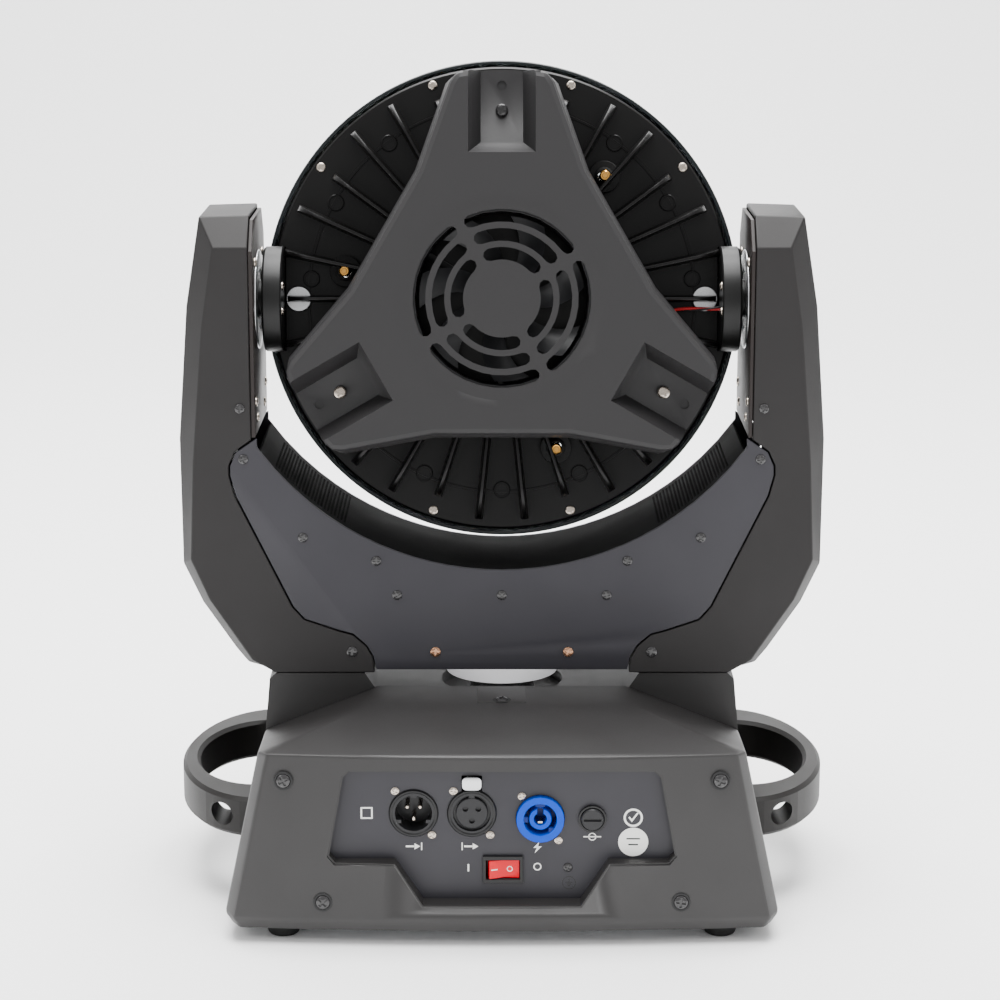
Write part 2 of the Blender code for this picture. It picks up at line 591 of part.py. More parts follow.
def yoke(frame):
    """All pieces that pan with the yoke, apart from the two motor pulleys."""
    before = set(bpy.data.objects)
    floor = box((-68.4, -37.2, YOKE_FLOOR_Z), (68.4, 37.2, YOKE_FLOOR_Z + 2.0))
    hub = add_object("yoke_pan_hub", floor, "bare_steel")
    combine(hub, rod("Z", (0.0, 0.0), COLLAR_R, COLLAR_BOTTOM_Z, YOKE_FLOOR_Z + 1.0, 48), "UNION")
    combine(hub, rod("Z", (0.0, 0.0), SPINDLE_R + GAP, 90.0, 130.0, 28))
    yoke_band()
    yoke_panel("yoke_rear_panel", -1)
    yoke_panel("yoke_front_panel", 1)
    for side, sign in (("left", -1), ("right", 1)):
        arm_cover(f"{side}_arm_cover", sign)
        arm_plate(f"{side}_arm_plate", sign)
        bush = [(10.3, sign * 131.6), (14.7, sign * 131.6), (14.7, sign * 134.3), (20.0, sign * 134.3),
                (20.0, sign * 136.3), (10.3, sign * 136.3)]
        add_object(f"{side}_tilt_bearing", lathe(bush, "X", (0.0, TILT_Z), 24), "bare_steel")
    motor = box((PAN_MOTOR_X - 21.0, -21.0, 142.0), (PAN_MOTOR_X + 21.0, 21.0, 180.0))
    add_object("pan_motor", bevel_sharp(motor, 3.0, 1, 40.0), "plastic_black")
    motor = box((-168.0, -21.0, TILT_MOTOR_Z - 21.0), (-147.0, 21.0, TILT_MOTOR_Z + 21.0))
    add_object("tilt_motor", bevel_sharp(motor, 3.0, 1, 40.0), "plastic_black")
    belt("pan_belt", "Z", (0.0, 0.0), 34.0, (PAN_MOTOR_X, 0.0), 8.0, 129.0, 135.0, None)
    belt("tilt_belt", "X", (0.0, TILT_Z), 26.0, (0.0, TILT_MOTOR_Z), 8.0, -142.5, -137.5, None)
    for obj in set(bpy.data.objects) - before:
        obj.parent = frame
    pan_axis = pivot("pan_motor_axis", (PAN_MOTOR_X, 0.0, 0.0), parent=frame)
    gear = [(0.0, 127.0), (8.0, 127.0), (8.0, 138.0), (2.5, 138.0), (2.5, 141.7), (0.0, 141.7)]
    add_object("pan_motor_pulley", lathe(gear, "Z", steps=24), "brass", pan_axis)
    tilt_axis = pivot("tilt_motor_axis", (0.0, 0.0, TILT_MOTOR_Z), parent=frame)
    gear = [(0.0, -136.5), (8.0, -136.5), (8.0, -143.8), (2.5, -143.8), (2.5, -146.7), (0.0, -146.7)]
    add_object("tilt_motor_pulley", lathe(gear, "X", steps=24), "brass", tilt_axis)


# ---------------------------------------------------------------- head, drawn untilted about the tilt axis
FIN_PITCH_DEG = 12.0
FIN_ROOT_R = 62.0
FIN_TIP_R = 121.0
FIN_SHORT_R = 113.0
FIN_HALF = 1.7
FAN_R = 50.0
LENS_R = 17.0
COVER_REAR_D = -50.0
COVER_BASE_D = -20.6


def polar(radius, degrees):
    """A point at a radius and angle in the plane across the optical axis."""
    return (radius * math.cos(math.radians(degrees)), radius * math.sin(math.radians(degrees)))


def under_lobe(degrees):
    """Whether an arm of the fan cover hides the fin at this angle."""
    return any(abs((degrees - lobe + 180.0) % 360.0 - 180.0) < 8.0 for lobe in LOBE_ANGLES)


def fin_outline():
    """Root circle with one straight tooth for each fin."""
    points = []
    half_root = math.degrees(math.asin(FIN_HALF / FIN_ROOT_R))
    for k in range(int(360.0 / FIN_PITCH_DEG)):
        angle = k * FIN_PITCH_DEG
        if under_lobe(angle):
            points += [polar(FIN_ROOT_R, angle - half_root), polar(FIN_ROOT_R, angle + half_root)]
            continue
        tip = FIN_SHORT_R if k % 3 == 0 else FIN_TIP_R
        half_tip = math.degrees(math.asin(FIN_HALF / tip))
        points += [polar(FIN_ROOT_R, angle - half_root), polar(tip, angle - half_tip),
                   polar(tip, angle + half_tip), polar(FIN_ROOT_R, angle + half_root)]
    return points


def hub_cutter(sign):
    """Room for a hub in the pieces round it."""
    return rod("X", (0.0, 0.0), 28.5 + GAP, sign * 117.5, sign * 140.0, 36)


def heatsink(frame):
    """Disc with radial fins, holes for the three guide rods and a pocket for the zoom motor."""
    disc = lathe([(0.0, 5.0), (SINK_R, 5.0), (SINK_R, 15.0), (0.0, 15.0)], "Y", steps=60)
    obj = add_object("head_heatsink", disc, "sink_black", frame)
    combine(obj, prism(fin_outline(), "Y", -20.0, 8.0), "UNION")
    for sign in (-1, 1):
        combine(obj, hub_cutter(sign))
    for angle in ROD_ANGLES:
        combine(obj, rod("Y", polar(ROD_CIRCLE_R, angle), 3.0 + GAP, -30.0, 30.0, 16))
    combine(obj, rod("Y", (0.0, 0.0), 20.0, -30.0, 3.0, 32))
    combine(obj, rod("Y", (0.0, 0.0), 4.0, -30.0, 30.0, 16))


def star_outline(flank, tip_r, half_width):
    """Three-armed outline of the fan cover with slightly hollow flanks."""
    points = []
    spread = math.degrees(math.asin(half_width / tip_r))
    for lobe in LOBE_ANGLES:
        points += arc((0.0, 0.0), tip_r, lobe - spread, lobe + spread, 6)
        normal = math.radians(lobe + 60.0)
        across = (-math.sin(normal), math.cos(normal))
        for t, h in ((-84.0, flank + 8.7), (-36.0, flank), (36.0, flank), (84.0, flank + 8.7)):
            points.append((h * math.cos(normal) + t * across[0], h * math.sin(normal) + t * across[1]))
    return points


def fan_cover(frame):
    """Three-armed shell over the fan, with an open pocket in each arm and a recessed grille."""
    bm = bmesh.new()
    rear = [bm.verts.new((x, COVER_REAR_D, z)) for x, z in star_outline(71.5, 120.6, 24.0)]
    base_ring = [bm.verts.new((x, COVER_BASE_D, z)) for x, z in star_outline(74.5, 121.4, 26.0)]
    bm.faces.new(rear)
    for i in range(len(rear)):
        j = (i + 1) % len(rear)
        bm.faces.new((rear[i], rear[j], base_ring[j], base_ring[i]))
    bevel_sharp(bm, 3.0, 2, 40.0)
    obj = add_object("fan_cover", bm, "fan_cover", frame, outward_from=(0.0, -30.0, 0.0))
    solidify(obj, 2.5)
    for lobe in LOBE_ANGLES:
        turn = Matrix.Rotation(math.radians(90.0 - lobe), 4, "Y")
        for margin, operation in ((2.2, "UNION"), (0.0, "DIFFERENCE")):
            combine(obj, pocket_block(margin, turn), operation)
    combine(obj, lathe([(0.0, -60.0), (59.0, -60.0), (58.3, COVER_REAR_D), (53.6, COVER_REAR_D + 1.6),
                        (0.0, COVER_REAR_D + 1.6)], "Y", steps=48))
    for radius in (43.7, 33.7, 23.8):
        for spoke in (30.0, 120.0, 210.0, 300.0):
            gap = math.degrees(11.5 / radius) / 2.0
            combine(obj, prism(slot_outline(radius, 3.3, spoke + gap, spoke + 90.0 - gap), "Y", -60.0, -40.0))


def pocket_block(margin, turn):
    """Tapered block for the pocket in one arm of the fan cover; a margin makes its lining."""
    bm = bmesh.new()
    floor_d = -26.0 + margin
    top_d = COVER_REAR_D + (1.0 if margin else -6.0)
    widen = 0.45
    floor_half, floor_r = 11.3 + margin, 83.0 - margin
    rise = floor_d - top_d
    end_r = 119.0 if margin else 126.0
    floor_ring = [(-floor_half, floor_r), (floor_half, floor_r), (floor_half, end_r), (-floor_half, end_r)]
    half, start_r = floor_half + widen * rise * 0.6, floor_r - widen * rise * 0.6
    top_ring = [(-half, start_r), (half, start_r), (half, end_r), (-half, end_r)]
    lower = [bm.verts.new((x, floor_d, z)) for x, z in floor_ring]
    upper = [bm.verts.new((x, top_d, z)) for x, z in top_ring]
    bm.faces.new(lower)
    bm.faces.new(upper)
    for i in range(4):
        j = (i + 1) % 4
        bm.faces.new((lower[i], lower[j], upper[j], upper[i]))
    bmesh.ops.transform(bm, matrix=turn, verts=bm.verts)
    return bm


def slot_outline(radius, half_width, start, end):
    """Curved slot with round ends along a circle."""
    first, last = polar(radius, start), polar(radius, end)
    return (arc((0.0, 0.0), radius + half_width, start, end, 8)
            + arc(last, half_width, end, end + 180.0, 4)[1:-1]
            + arc((0.0, 0.0), radius - half_width, end, start, 8)
            + arc(first, half_width, start + 180.0, start + 360.0, 4)[1:-1])


def fan(frame):
    """Round axial fan: a ring frame with three struts, and its rotor."""
    ring = [(46.0, -46.0), (FAN_R, -46.0), (FAN_R, -22.0), (46.0, -22.0)]
    obj = add_object("fan_frame", lathe(ring, "Y", steps=28), "plastic_black", frame)
    combine(obj, rod("Y", (0.0, 0.0), 19.0, -24.0, -22.0, 20), "UNION")
    for angle in (30.0, 150.0, 270.0):
        a, b = math.radians(angle), math.radians(angle + 90.0)
        side = (2.0 * math.cos(b), 2.0 * math.sin(b))
        inner, outer = polar(17.0, angle), polar(47.0, angle)
        strut = [(inner[0] - side[0], inner[1] - side[1]), (outer[0] - side[0], outer[1] - side[1]),
                 (outer[0] + side[0], outer[1] + side[1]), (inner[0] + side[0], inner[1] + side[1])]
        combine(obj, prism(strut, "Y", -25.0, -22.0), "UNION")
    rotor = add_object("fan_rotor", lathe([(0.0, -44.0), (17.0, -44.0), (17.5, -43.0), (17.5, -26.0),
                                           (0.0, -26.0)], "Y", steps=20), "plastic_black", frame)
    for k in range(7):
        blade = bmesh.new()
        blade = box((14.0, -1.0, -9.0), (44.0, 1.0, 9.0), blade)
        lean = Matrix.Rotation(math.radians(52.0), 4, "X")
        move = Matrix.Translation((0.0, -35.0, 0.0))
        spin = Matrix.Rotation(2.0 * math.pi * k / 7.0, 4, "Y")
        bmesh.ops.transform(blade, matrix=spin @ move @ lean, verts=blade.verts)
        combine(rotor, blade, "UNION")


def lens_spots():
    """Centres of the lenses: two rings about the zoom screw, clear of the guide rods."""
    return ([polar(90.0, 5.0 + 30.0 * k) for k in range(12)]
            + [polar(47.0, 20.0 + 60.0 * k) for k in range(6)])


def optics(frame):
    """LED board, zoom drive, lens carriage and front glass."""
    board = add_object("led_board", lathe([(4.0, 15.3), (113.0, 15.3), (113.0, 17.0), (4.0, 17.0)], "Y",
                                          steps=28), "board_white", frame)
    carriage = add_object("lens_carriage", lathe([(0.0, 25.0), (112.0, 25.0), (112.0, 28.0), (0.0, 28.0)],
                                                 "Y", steps=32), "plastic_black", frame)
    combine(carriage, rod("Y", (0.0, 0.0), 2.6, -18.0, 30.0, 16), "UNION")
    lenses = bmesh.new()
    for spot in lens_spots():
        lathe([(0.0, 22.0), (LENS_R - 5.0, 22.0), (LENS_R, 26.5), (LENS_R, 30.0), (0.0, 30.0)],
              "Y", spot, 10, lenses)
    combine(carriage, lenses, "UNION")
    for obj in (board, carriage):
        holes = bmesh.new()
        for angle in ROD_ANGLES:
            rod("Y", polar(ROD_CIRCLE_R, angle), 3.7, 10.0, 40.0, 8, holes)
        combine(obj, holes)
    add_object("zoom_motor", lathe([(3.2, -18.6), (18.0, -18.6), (18.0, 1.5), (3.2, 1.5)], "Y", steps=20),
               "bare_steel", frame)
    add_object("front_glass", lathe([(0.0, 40.3), (116.5, 40.3), (116.5, 42.8), (0.0, 42.8)], "Y", steps=48),
               "glass", frame)
    for number, angle in enumerate(ROD_ANGLES, 1):
        add_object(f"guide_rod_{number}", rod("Y", polar(ROD_CIRCLE_R, angle), 3.0, -17.0, 39.8, 16),
                   "brass", frame)


def head(frame):
    """All pieces that tilt with the head."""
    heatsink(frame)
    fan_cover(frame)
    fan(frame)
    ring = [(127.6, 17.0), (HEAD_R, 17.0), (HEAD_R, 44.0), (HEAD_R - 2.0, 46.0), (112.0, 46.0),
            (112.0, 43.1), (127.6, 43.1)]
    obj = add_object("head_ring", lathe(ring, "Y", steps=60), "sink_black", frame)
    for side, sign in (("left", -1), ("right", 1)):
        combine(obj, hub_cutter(sign))
        hub = [(0.0, sign * 118.0), (28.5, sign * 118.0), (28.5, sign * 127.5), (27.5, sign * 128.5),
               (10.0, sign * 128.5), (10.0, sign * 150.0), (0.0, sign * 150.0)]
        add_object(f"head_hub_{side}", lathe(hub, "X", steps=36), "sink_black", frame)
    pulley = [(10.3, -136.8), (26.0, -136.8), (26.0, -143.2), (10.3, -143.2)]
    add_object("tilt_ring_pulley", lathe(pulley, "X", steps=28), "aluminium", frame)
    optics(frame)
    lead = [(63.6 + 4.5 * k, -11.0 + 1.5 * math.sin(k / 2.4), -5.2 - 0.8 * math.sin(k / 3.6)) for k in range(13)]
    curve = bpy.data.curves.new("fan_lead", "CURVE")
    curve.dimensions = "3D"
    curve.bevel_depth = 1.3 * MM
    curve.bevel_resolution = 2
    curve.use_fill_caps = True
    spline = curve.splines.new("POLY")
    spline.points.add(len(lead) - 1)
    for point, position in zip(spline.points, lead):
        point.co = (*(Vector(position) * MM), 1.0)
    curve.materials.append(material("wire_red"))
    cord = bpy.data.objects.new("fan_lead", curve)
    bpy.context.scene.collection.objects.link(cord)
    cord.parent = frame


def main():
    """Build the whole lamp."""
    clear_scene()
    base()
    sockets()
    small_controls()
    display()
    pan = pivot("pan_axis", (0.0, 0.0, 0.0))
    yoke(pan)
    head(pivot("tilt_axis", (0.0, 0.0, TILT_Z), HEAD_TILT_DEG, pan))


main()
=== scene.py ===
"""Looks of the moving head light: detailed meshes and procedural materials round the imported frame.

Lengths in this script are millimetres and become metres when a mesh is made.  The socket side faces -Y.
"""

import json
import logging
import math
from dataclasses import dataclass, field
from enum import Enum

import bmesh
import bpy
from mathutils import Matrix, Vector

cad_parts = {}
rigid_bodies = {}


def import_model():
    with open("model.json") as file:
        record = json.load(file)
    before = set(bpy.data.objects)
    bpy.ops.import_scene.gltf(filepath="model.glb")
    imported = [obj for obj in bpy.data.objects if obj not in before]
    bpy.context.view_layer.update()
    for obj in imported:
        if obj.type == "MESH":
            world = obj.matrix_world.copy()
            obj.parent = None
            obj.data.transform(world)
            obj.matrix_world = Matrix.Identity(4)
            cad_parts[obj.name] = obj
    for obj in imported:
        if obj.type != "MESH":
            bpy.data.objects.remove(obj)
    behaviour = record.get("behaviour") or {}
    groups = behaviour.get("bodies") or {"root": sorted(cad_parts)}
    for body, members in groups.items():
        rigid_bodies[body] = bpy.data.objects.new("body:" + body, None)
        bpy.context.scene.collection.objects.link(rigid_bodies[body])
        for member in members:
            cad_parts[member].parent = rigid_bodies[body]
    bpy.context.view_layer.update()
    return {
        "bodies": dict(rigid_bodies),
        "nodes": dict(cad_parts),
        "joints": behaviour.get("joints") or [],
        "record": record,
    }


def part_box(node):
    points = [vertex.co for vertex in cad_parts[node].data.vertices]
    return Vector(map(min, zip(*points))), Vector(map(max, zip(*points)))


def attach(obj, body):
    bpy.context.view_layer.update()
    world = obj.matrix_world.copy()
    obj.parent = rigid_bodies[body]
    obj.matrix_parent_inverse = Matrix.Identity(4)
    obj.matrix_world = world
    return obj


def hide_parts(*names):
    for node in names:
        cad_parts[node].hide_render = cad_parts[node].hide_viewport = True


logging.basicConfig(level=logging.INFO, format="%(levelname)s %(message)s")
LOG = logging.getLogger("moving_head")

MM = 0.001
HEAD_TILT = math.radians(-9.0)

ACRYLIC_IOR = 1.49
SLOW_NOISE_SCALE = 28.0
FINE_SHARE = 0.45       # part of the fine noise in the colour; the slow noise has the rest
BUMP_STRENGTH = 0.2


def linear(hex_color):
    """Convert an sRGB hex colour to linear light.

    Args:
        hex_color: six hexadecimal digits, such as "3e3c3d".

    Returns:
        A tuple of red, green, blue and alpha.
    """
    channels = [int(hex_color[i:i + 2], 16) / 255.0 for i in (0, 2, 4)]
    return tuple(c / 12.92 if c <= 0.04045 else ((c + 0.055) / 1.055) ** 2.4 for c in channels) + (1.0,)


# ---------------------------------------------------------------- finishes
@dataclass(frozen=True)
class Finish:
    """How a surface looks.

    Attributes:
        color: main colour, sRGB hex.
        shade: second colour of the slow variation, sRGB hex.
        roughness: lowest and highest roughness.
        metallic: 0 or 1.
        grain: size of the surface texture, in millimetres.
        bump: depth of the texture, in millimetres.
        brushed: stretch of the grain round the object, 1 for none.
        coat: clear coat weight.
        transmission: 0 for opaque, 1 for clear.
        emission: glow strength; on the collar it is painted light, not a lamp.
        specular: strength of the clear reflection, 0.5 for plain plastic.
    """

    color: str
    shade: str
    roughness: tuple = (0.5, 0.6)
    metallic: float = 0.0
    grain: float = 0.5
    bump: float = 0.02
    brushed: float = 1.0
    coat: float = 0.0
    transmission: float = 0.0
    emission: float = 0.0
    specular: float = 0.3


class Look(Enum):
    """Every finish on the lamp."""

    BASE_COVER = Finish("201e1e", "1a1919", (0.46, 0.58), grain=0.55, bump=0.035, specular=0.5)
    COVER = Finish("1a1818", "151313", (0.5, 0.6), grain=0.55, bump=0.03, specular=0.3)
    HANDLE = Finish("151312", "110f0e", (0.48, 0.58), grain=0.5, bump=0.03, specular=0.28)
    PANEL = Finish("2c2b30", "26252a", (0.48, 0.58), grain=0.4, bump=0.02, specular=0.3)
    SOCKET_PANEL = Finish("2a292e", "242328", (0.44, 0.54), grain=0.4, bump=0.02, specular=0.35)
    FAN_COVER = Finish("201f20", "1a191a", (0.5, 0.62), grain=0.6, bump=0.04, specular=0.35)
    BAND = Finish("050505", "030303", (0.7, 0.85), grain=0.4, bump=0.012, specular=0.04)
    # The warm brownish tint of the arm plates is a painted reflection on plates that are black.
    ARM_PLATE = Finish("1c1513", "160f0e", (0.4, 0.52), grain=0.5, bump=0.012, specular=0.3)
    SINK = Finish("060505", "030303", (0.28, 0.4), grain=0.9, bump=0.02, specular=0.22)
    RING = Finish("12181a", "0d1214", (0.24, 0.36), grain=0.5, bump=0.008)
    HUB = Finish("101010", "0b0b0b", (0.34, 0.44), grain=0.5, bump=0.01, specular=0.25)
    STEEL = Finish("d2d3d4", "bebfc1", (0.22, 0.34), 1.0, grain=0.5, bump=0.006, brushed=14.0)
    # The collar's near-white colour and emission paint the bright reflection of polished steel onto a part in
    # the yoke's shade; it is no lamp.
    COLLAR = Finish("fafafc", "eeeef0", (0.3, 0.42), 0.1, grain=0.5, bump=0.006, brushed=14.0, emission=0.3)
    SCREW_BLACK = Finish("2a292a", "1e1d1e", (0.18, 0.3), 0.0, grain=0.4, bump=0.006, coat=0.5)
    SCREW_SILVER = Finish("c3b9ae", "a59b90", (0.2, 0.32), 1.0, grain=0.4, bump=0.006)
    SCREW_BRONZE = Finish("b98f72", "93705a", (0.2, 0.32), 1.0, grain=0.4, bump=0.006)
    BRASS = Finish("d9a65a", "b58440", (0.18, 0.3), 1.0, grain=0.5, bump=0.006, brushed=8.0)
    ALUMINIUM = Finish("b4b5b8", "9c9da0", (0.3, 0.42), 1.0, grain=0.5, bump=0.01, brushed=6.0)
    RUBBER = Finish("1c1c1c", "151515", (0.7, 0.85), grain=0.7, bump=0.03)
    PLASTIC = Finish("111112", "0c0c0d", (0.26, 0.38), grain=0.4, bump=0.01)
    INSERT = Finish("1c1c1e", "161618", (0.3, 0.42), grain=0.4, bump=0.01)
    BLUE = Finish("0046c4", "003cae", (0.34, 0.44), grain=0.4, bump=0.008, specular=0.12)
    # A darker copy of the blue: painted shade for the floor and keys inside the inlet's channel.
    BLUE_DARK = Finish("04236e", "031b58", (0.3, 0.4), grain=0.4, bump=0.008, specular=0.2)
    RED = Finish("d4041f", "b80018", (0.2, 0.3), grain=0.6, bump=0.006, emission=0.3, specular=0.2)
    WIRE_RED = Finish("c01c22", "a3161b", (0.3, 0.4), grain=0.4, bump=0.01)
    WIRE_BLACK = Finish("1a1a1a", "141414", (0.35, 0.45), grain=0.4, bump=0.01)
    PRINT = Finish("ecece8", "e0e0dc", (0.5, 0.6), grain=0.3, bump=0.004)
    BOARD = Finish("dcdcd8", "d0d0cc", (0.4, 0.5), grain=0.4, bump=0.01)
    LED = Finish("e8c440", "d8b030", (0.3, 0.4), grain=0.3, bump=0.01)
    LENS = Finish("f2f6f8", "e8eef2", (0.02, 0.05), grain=3.0, bump=0.002, transmission=1.0)
    GLASS = Finish("f6fafa", "eef4f4", (0.0, 0.02), grain=6.0, bump=0.001, transmission=1.0)
    SCREEN = Finish("0c1420", "0a1018", (0.06, 0.1), grain=2.0, bump=0.001, coat=0.6)
    GLOW = Finish("7fd4ff", "6cc4f0", (0.3, 0.4), grain=1.0, bump=0.001, emission=1.2)


def make_material(look):
    """Build the procedural material of a finish, once.

    Args:
        look: a member of Look.

    Returns:
        The Blender material.
    """
    name = f"look_{look.name.lower()}"
    found = bpy.data.materials.get(name)
    if found:
        return found
    finish = look.value
    mat = bpy.data.materials.new(name)
    mat.use_nodes = True
    nodes, link = mat.node_tree.nodes, mat.node_tree.links.new
    shader = nodes["Principled BSDF"]
    shader.inputs["Metallic"].default_value = finish.metallic
    shader.inputs["Coat Weight"].default_value = finish.coat
    shader.inputs["Specular IOR Level"].default_value = finish.specular
    shader.inputs["Transmission Weight"].default_value = finish.transmission
    if finish.transmission:
        shader.inputs["IOR"].default_value = ACRYLIC_IOR
    if finish.emission:
        shader.inputs["Emission Color"].default_value = linear(finish.color)
        shader.inputs["Emission Strength"].default_value = finish.emission

    def make(kind, **values):
        """New node with some inputs set; an underscore stands for a space, input_1 for the second input."""
        node = nodes.new(f"ShaderNode{kind}")
        for key, value in values.items():
            socket = 1 if key == "input_1" else key.replace("_", " ")
            node.inputs[socket].default_value = value
        return node

    coords = make("TexCoord")
    mapping = make("Mapping", Scale=(1.0, 1.0, finish.brushed))
    link(coords.outputs["Object"], mapping.inputs["Vector"])
    slow = make("TexNoise", Scale=SLOW_NOISE_SCALE, Detail=3.0)
    link(coords.outputs["Object"], slow.inputs["Vector"])
    fine = make("TexNoise", Scale=1.0 / (finish.grain * MM), Detail=2.0)
    link(mapping.outputs["Vector"], fine.inputs["Vector"])

    both = make("Math", input_1=FINE_SHARE)
    both.operation = "MULTIPLY_ADD"
    link(fine.outputs["Fac"], both.inputs[0])
    rest = make("Math", input_1=1.0 - FINE_SHARE)
    rest.operation = "MULTIPLY"
    link(slow.outputs["Fac"], rest.inputs[0])
    link(rest.outputs[0], both.inputs[2])
    blend = nodes.new("ShaderNodeMix")
    blend.data_type = "RGBA"
    blend.inputs["A"].default_value = linear(finish.color)
    blend.inputs["B"].default_value = linear(finish.shade)
    link(both.outputs[0], blend.inputs["Factor"])
    link(blend.outputs["Result"], shader.inputs["Base Color"])

    rough = make("MapRange", From_Min=0.3, From_Max=0.7, To_Min=finish.roughness[0], To_Max=finish.roughness[1])
    link(both.outputs[0], rough.inputs["Value"])
    link(rough.outputs["Result"], shader.inputs["Roughness"])
    bump = make("Bump", Distance=finish.bump * MM, Strength=BUMP_STRENGTH)
    link(fine.outputs["Fac"], bump.inputs["Height"])
    link(bump.outputs["Normal"], shader.inputs["Normal"])
    return mat


# ---------------------------------------------------------------- mesh tools
def place(axis, u, v, t):
    """Point with outline coordinates (u, v) at distance t along an axis."""
    return {"X": (t, u, v), "Y": (u, t, v), "Z": (u, v, t)}[axis]


def arc(center, radius, start, end, count):
    """Points of a circular arc, angles in degrees."""
    return [(center[0] + radius * math.cos(math.radians(start + (end - start) * k / count)),
             center[1] + radius * math.sin(math.radians(start + (end - start) * k / count)))
            for k in range(count + 1)]


def circle(center, radius, steps=32):
    """Closed circle of points."""
    return arc(center, radius, 0.0, 360.0, steps)[:-1]


def polar(radius, degrees):
    """Point at a radius and angle across the optical axis."""
    return (radius * math.cos(math.radians(degrees)), radius * math.sin(math.radians(degrees)))


def rounded_rect(half_u, half_v, radius, center=(0.0, 0.0), count=5):
    """Rectangle with round corners."""
    points = []
    for su, sv, start in ((1, -1, -90), (1, 1, 0), (-1, 1, 90), (-1, -1, 180)):
        corner = (center[0] + su * (half_u - radius), center[1] + sv * (half_v - radius))
        points += arc(corner, radius, start, start + 90, count)
    return points


def prism(outline, axis, low, high, bm=None):
    """Straight prism of a closed outline between two distances along an axis."""
    bm = bm or bmesh.new()
    lower = [bm.verts.new(place(axis, u, v, low)) for u, v in outline]
    upper = [bm.verts.new(place(axis, u, v, high)) for u, v in outline]
    faces = [bm.faces.new(lower), bm.faces.new(upper)]
    for i in range(len(outline)):
        j = (i + 1) % len(outline)
        faces.append(bm.faces.new((lower[i], lower[j], upper[j], upper[i])))
    bmesh.ops.recalc_face_normals(bm, faces=faces)
    return bm


def lathe(profile, axis, center=(0.0, 0.0), steps=64, bm=None):
    """Turn a closed profile of (radius, distance) points about an axis."""
    bm = bm or bmesh.new()
    rings = []
    for radius, t in profile:
        if radius < 1e-6:
            rings.append(None)
            continue
        rings.append([bm.verts.new(place(axis, center[0] + radius * math.cos(a),
                                         center[1] + radius * math.sin(a), t))
                      for a in (2.0 * math.pi * k / steps for k in range(steps))])
    for i, ring in enumerate(rings):
        following = rings[(i + 1) % len(rings)]
        if ring and following:
            for k in range(steps):
                m = (k + 1) % steps
                bm.faces.new((ring[k], ring[m], following[m], following[k]))
        elif ring or following:
            bm.faces.new(ring or following)
    bmesh.ops.recalc_face_normals(bm, faces=bm.faces)
    return bm


def soften(bm, width, segments=2, angle=30.0):
    """Round every edge of a mesh that is sharper than an angle."""
    bmesh.ops.recalc_face_normals(bm, faces=bm.faces)
    edges = [e for e in bm.edges if len(e.link_faces) == 2 and e.calc_face_angle() > math.radians(angle)]
    bmesh.ops.bevel(bm, geom=edges, offset=width, segments=segments, profile=0.5, affect="EDGES",
                    clamp_overlap=True)
    return bm


def head_matrix():
    """Place of the untilted head drawing in the resting lamp, in metres."""
    low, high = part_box("left_tilt_bearing")
    height = (low.z + high.z) / 2.0
    return Matrix.Translation((0.0, 0.0, height)) @ Matrix.Rotation(HEAD_TILT, 4, "X")


def to_object(name, bm, look, matrix=None, smooth=30.0):
    """Make an object in metres at the origin from a mesh in millimetres."""
    bmesh.ops.scale(bm, vec=(MM, MM, MM), verts=bm.verts)
    if matrix is not None:
        bmesh.ops.transform(bm, matrix=matrix, verts=bm.verts)
    mesh = bpy.data.meshes.new(name)
    bm.to_mesh(mesh)
    bm.free()
    mesh.shade_smooth()
    mesh.set_sharp_from_angle(angle=math.radians(smooth))
    obj = bpy.data.objects.new(name, mesh)
    bpy.context.scene.collection.objects.link(obj)
    if look is not None:
        mesh.materials.append(make_material(look))
    return obj


def bake_modifiers(obj, smooth=30.0):
    """Replace an object's mesh with its evaluated shape and drop its modifiers."""
    graph = bpy.context.evaluated_depsgraph_get()
    mesh = bpy.data.meshes.new_from_object(obj.evaluated_get(graph), depsgraph=graph)
    obj.modifiers.clear()
    obj.data = mesh
    mesh.shade_smooth()
    mesh.set_sharp_from_angle(angle=math.radians(smooth))
    return obj


def boolean(obj, bm, matrix=None, operation="DIFFERENCE", smooth=30.0):
    """Cut a mesh in millimetres from an object, or join it on."""
    tool = to_object(f"tool_{obj.name}", bm, None, matrix)
    modifier = obj.modifiers.new("shape", "BOOLEAN")
    modifier.operation = operation
    modifier.object = tool
    modifier.solver = "EXACT"
    bake_modifiers(obj, smooth)
    bpy.data.objects.remove(tool, do_unlink=True)
    return obj


def adopt(obj, body, replaces=()):
    """Say what a piece rides on and which CAD nodes it stands for."""
    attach(obj, body)
    if replaces:
        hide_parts(*replaces)
    return obj


def refined(frame, node, look, bevel=0.0, smooth=30.0, edge_angle=30.0):
    """A clean copy of a CAD node: merged, with flat faces joined and edges rounded.

    Args:
        node: name of the CAD node.
        look: its finish.
        bevel: edge radius in millimetres, 0 for none.
        smooth: angle in degrees below which shading is smooth.
        edge_angle: edges sharper than this are rounded.

    Returns:
        The new object, which rides on the node's body and replaces it.
    """
    source = frame["nodes"][node]
    bm = bmesh.new()
    bm.from_mesh(source.data)
    bmesh.ops.remove_doubles(bm, verts=bm.verts, dist=2e-6)
    bmesh.ops.dissolve_limit(bm, angle_limit=math.radians(1.0), verts=bm.verts, edges=bm.edges)
    bmesh.ops.scale(bm, vec=(1.0 / MM,) * 3, verts=bm.verts)
    if bevel:
        soften(bm, bevel, 2, edge_angle)
    obj = to_object(f"{node}_skin", bm, look, smooth=smooth)
    flat = obj.modifiers.new("even_shading", "WEIGHTED_NORMAL")
    flat.keep_sharp = True
    bake_modifiers(obj, smooth)
    record = frame["record"]
    body = next(b for b, members in record["behaviour"]["bodies"].items() if node in members)
    return adopt(obj, body, (node,))


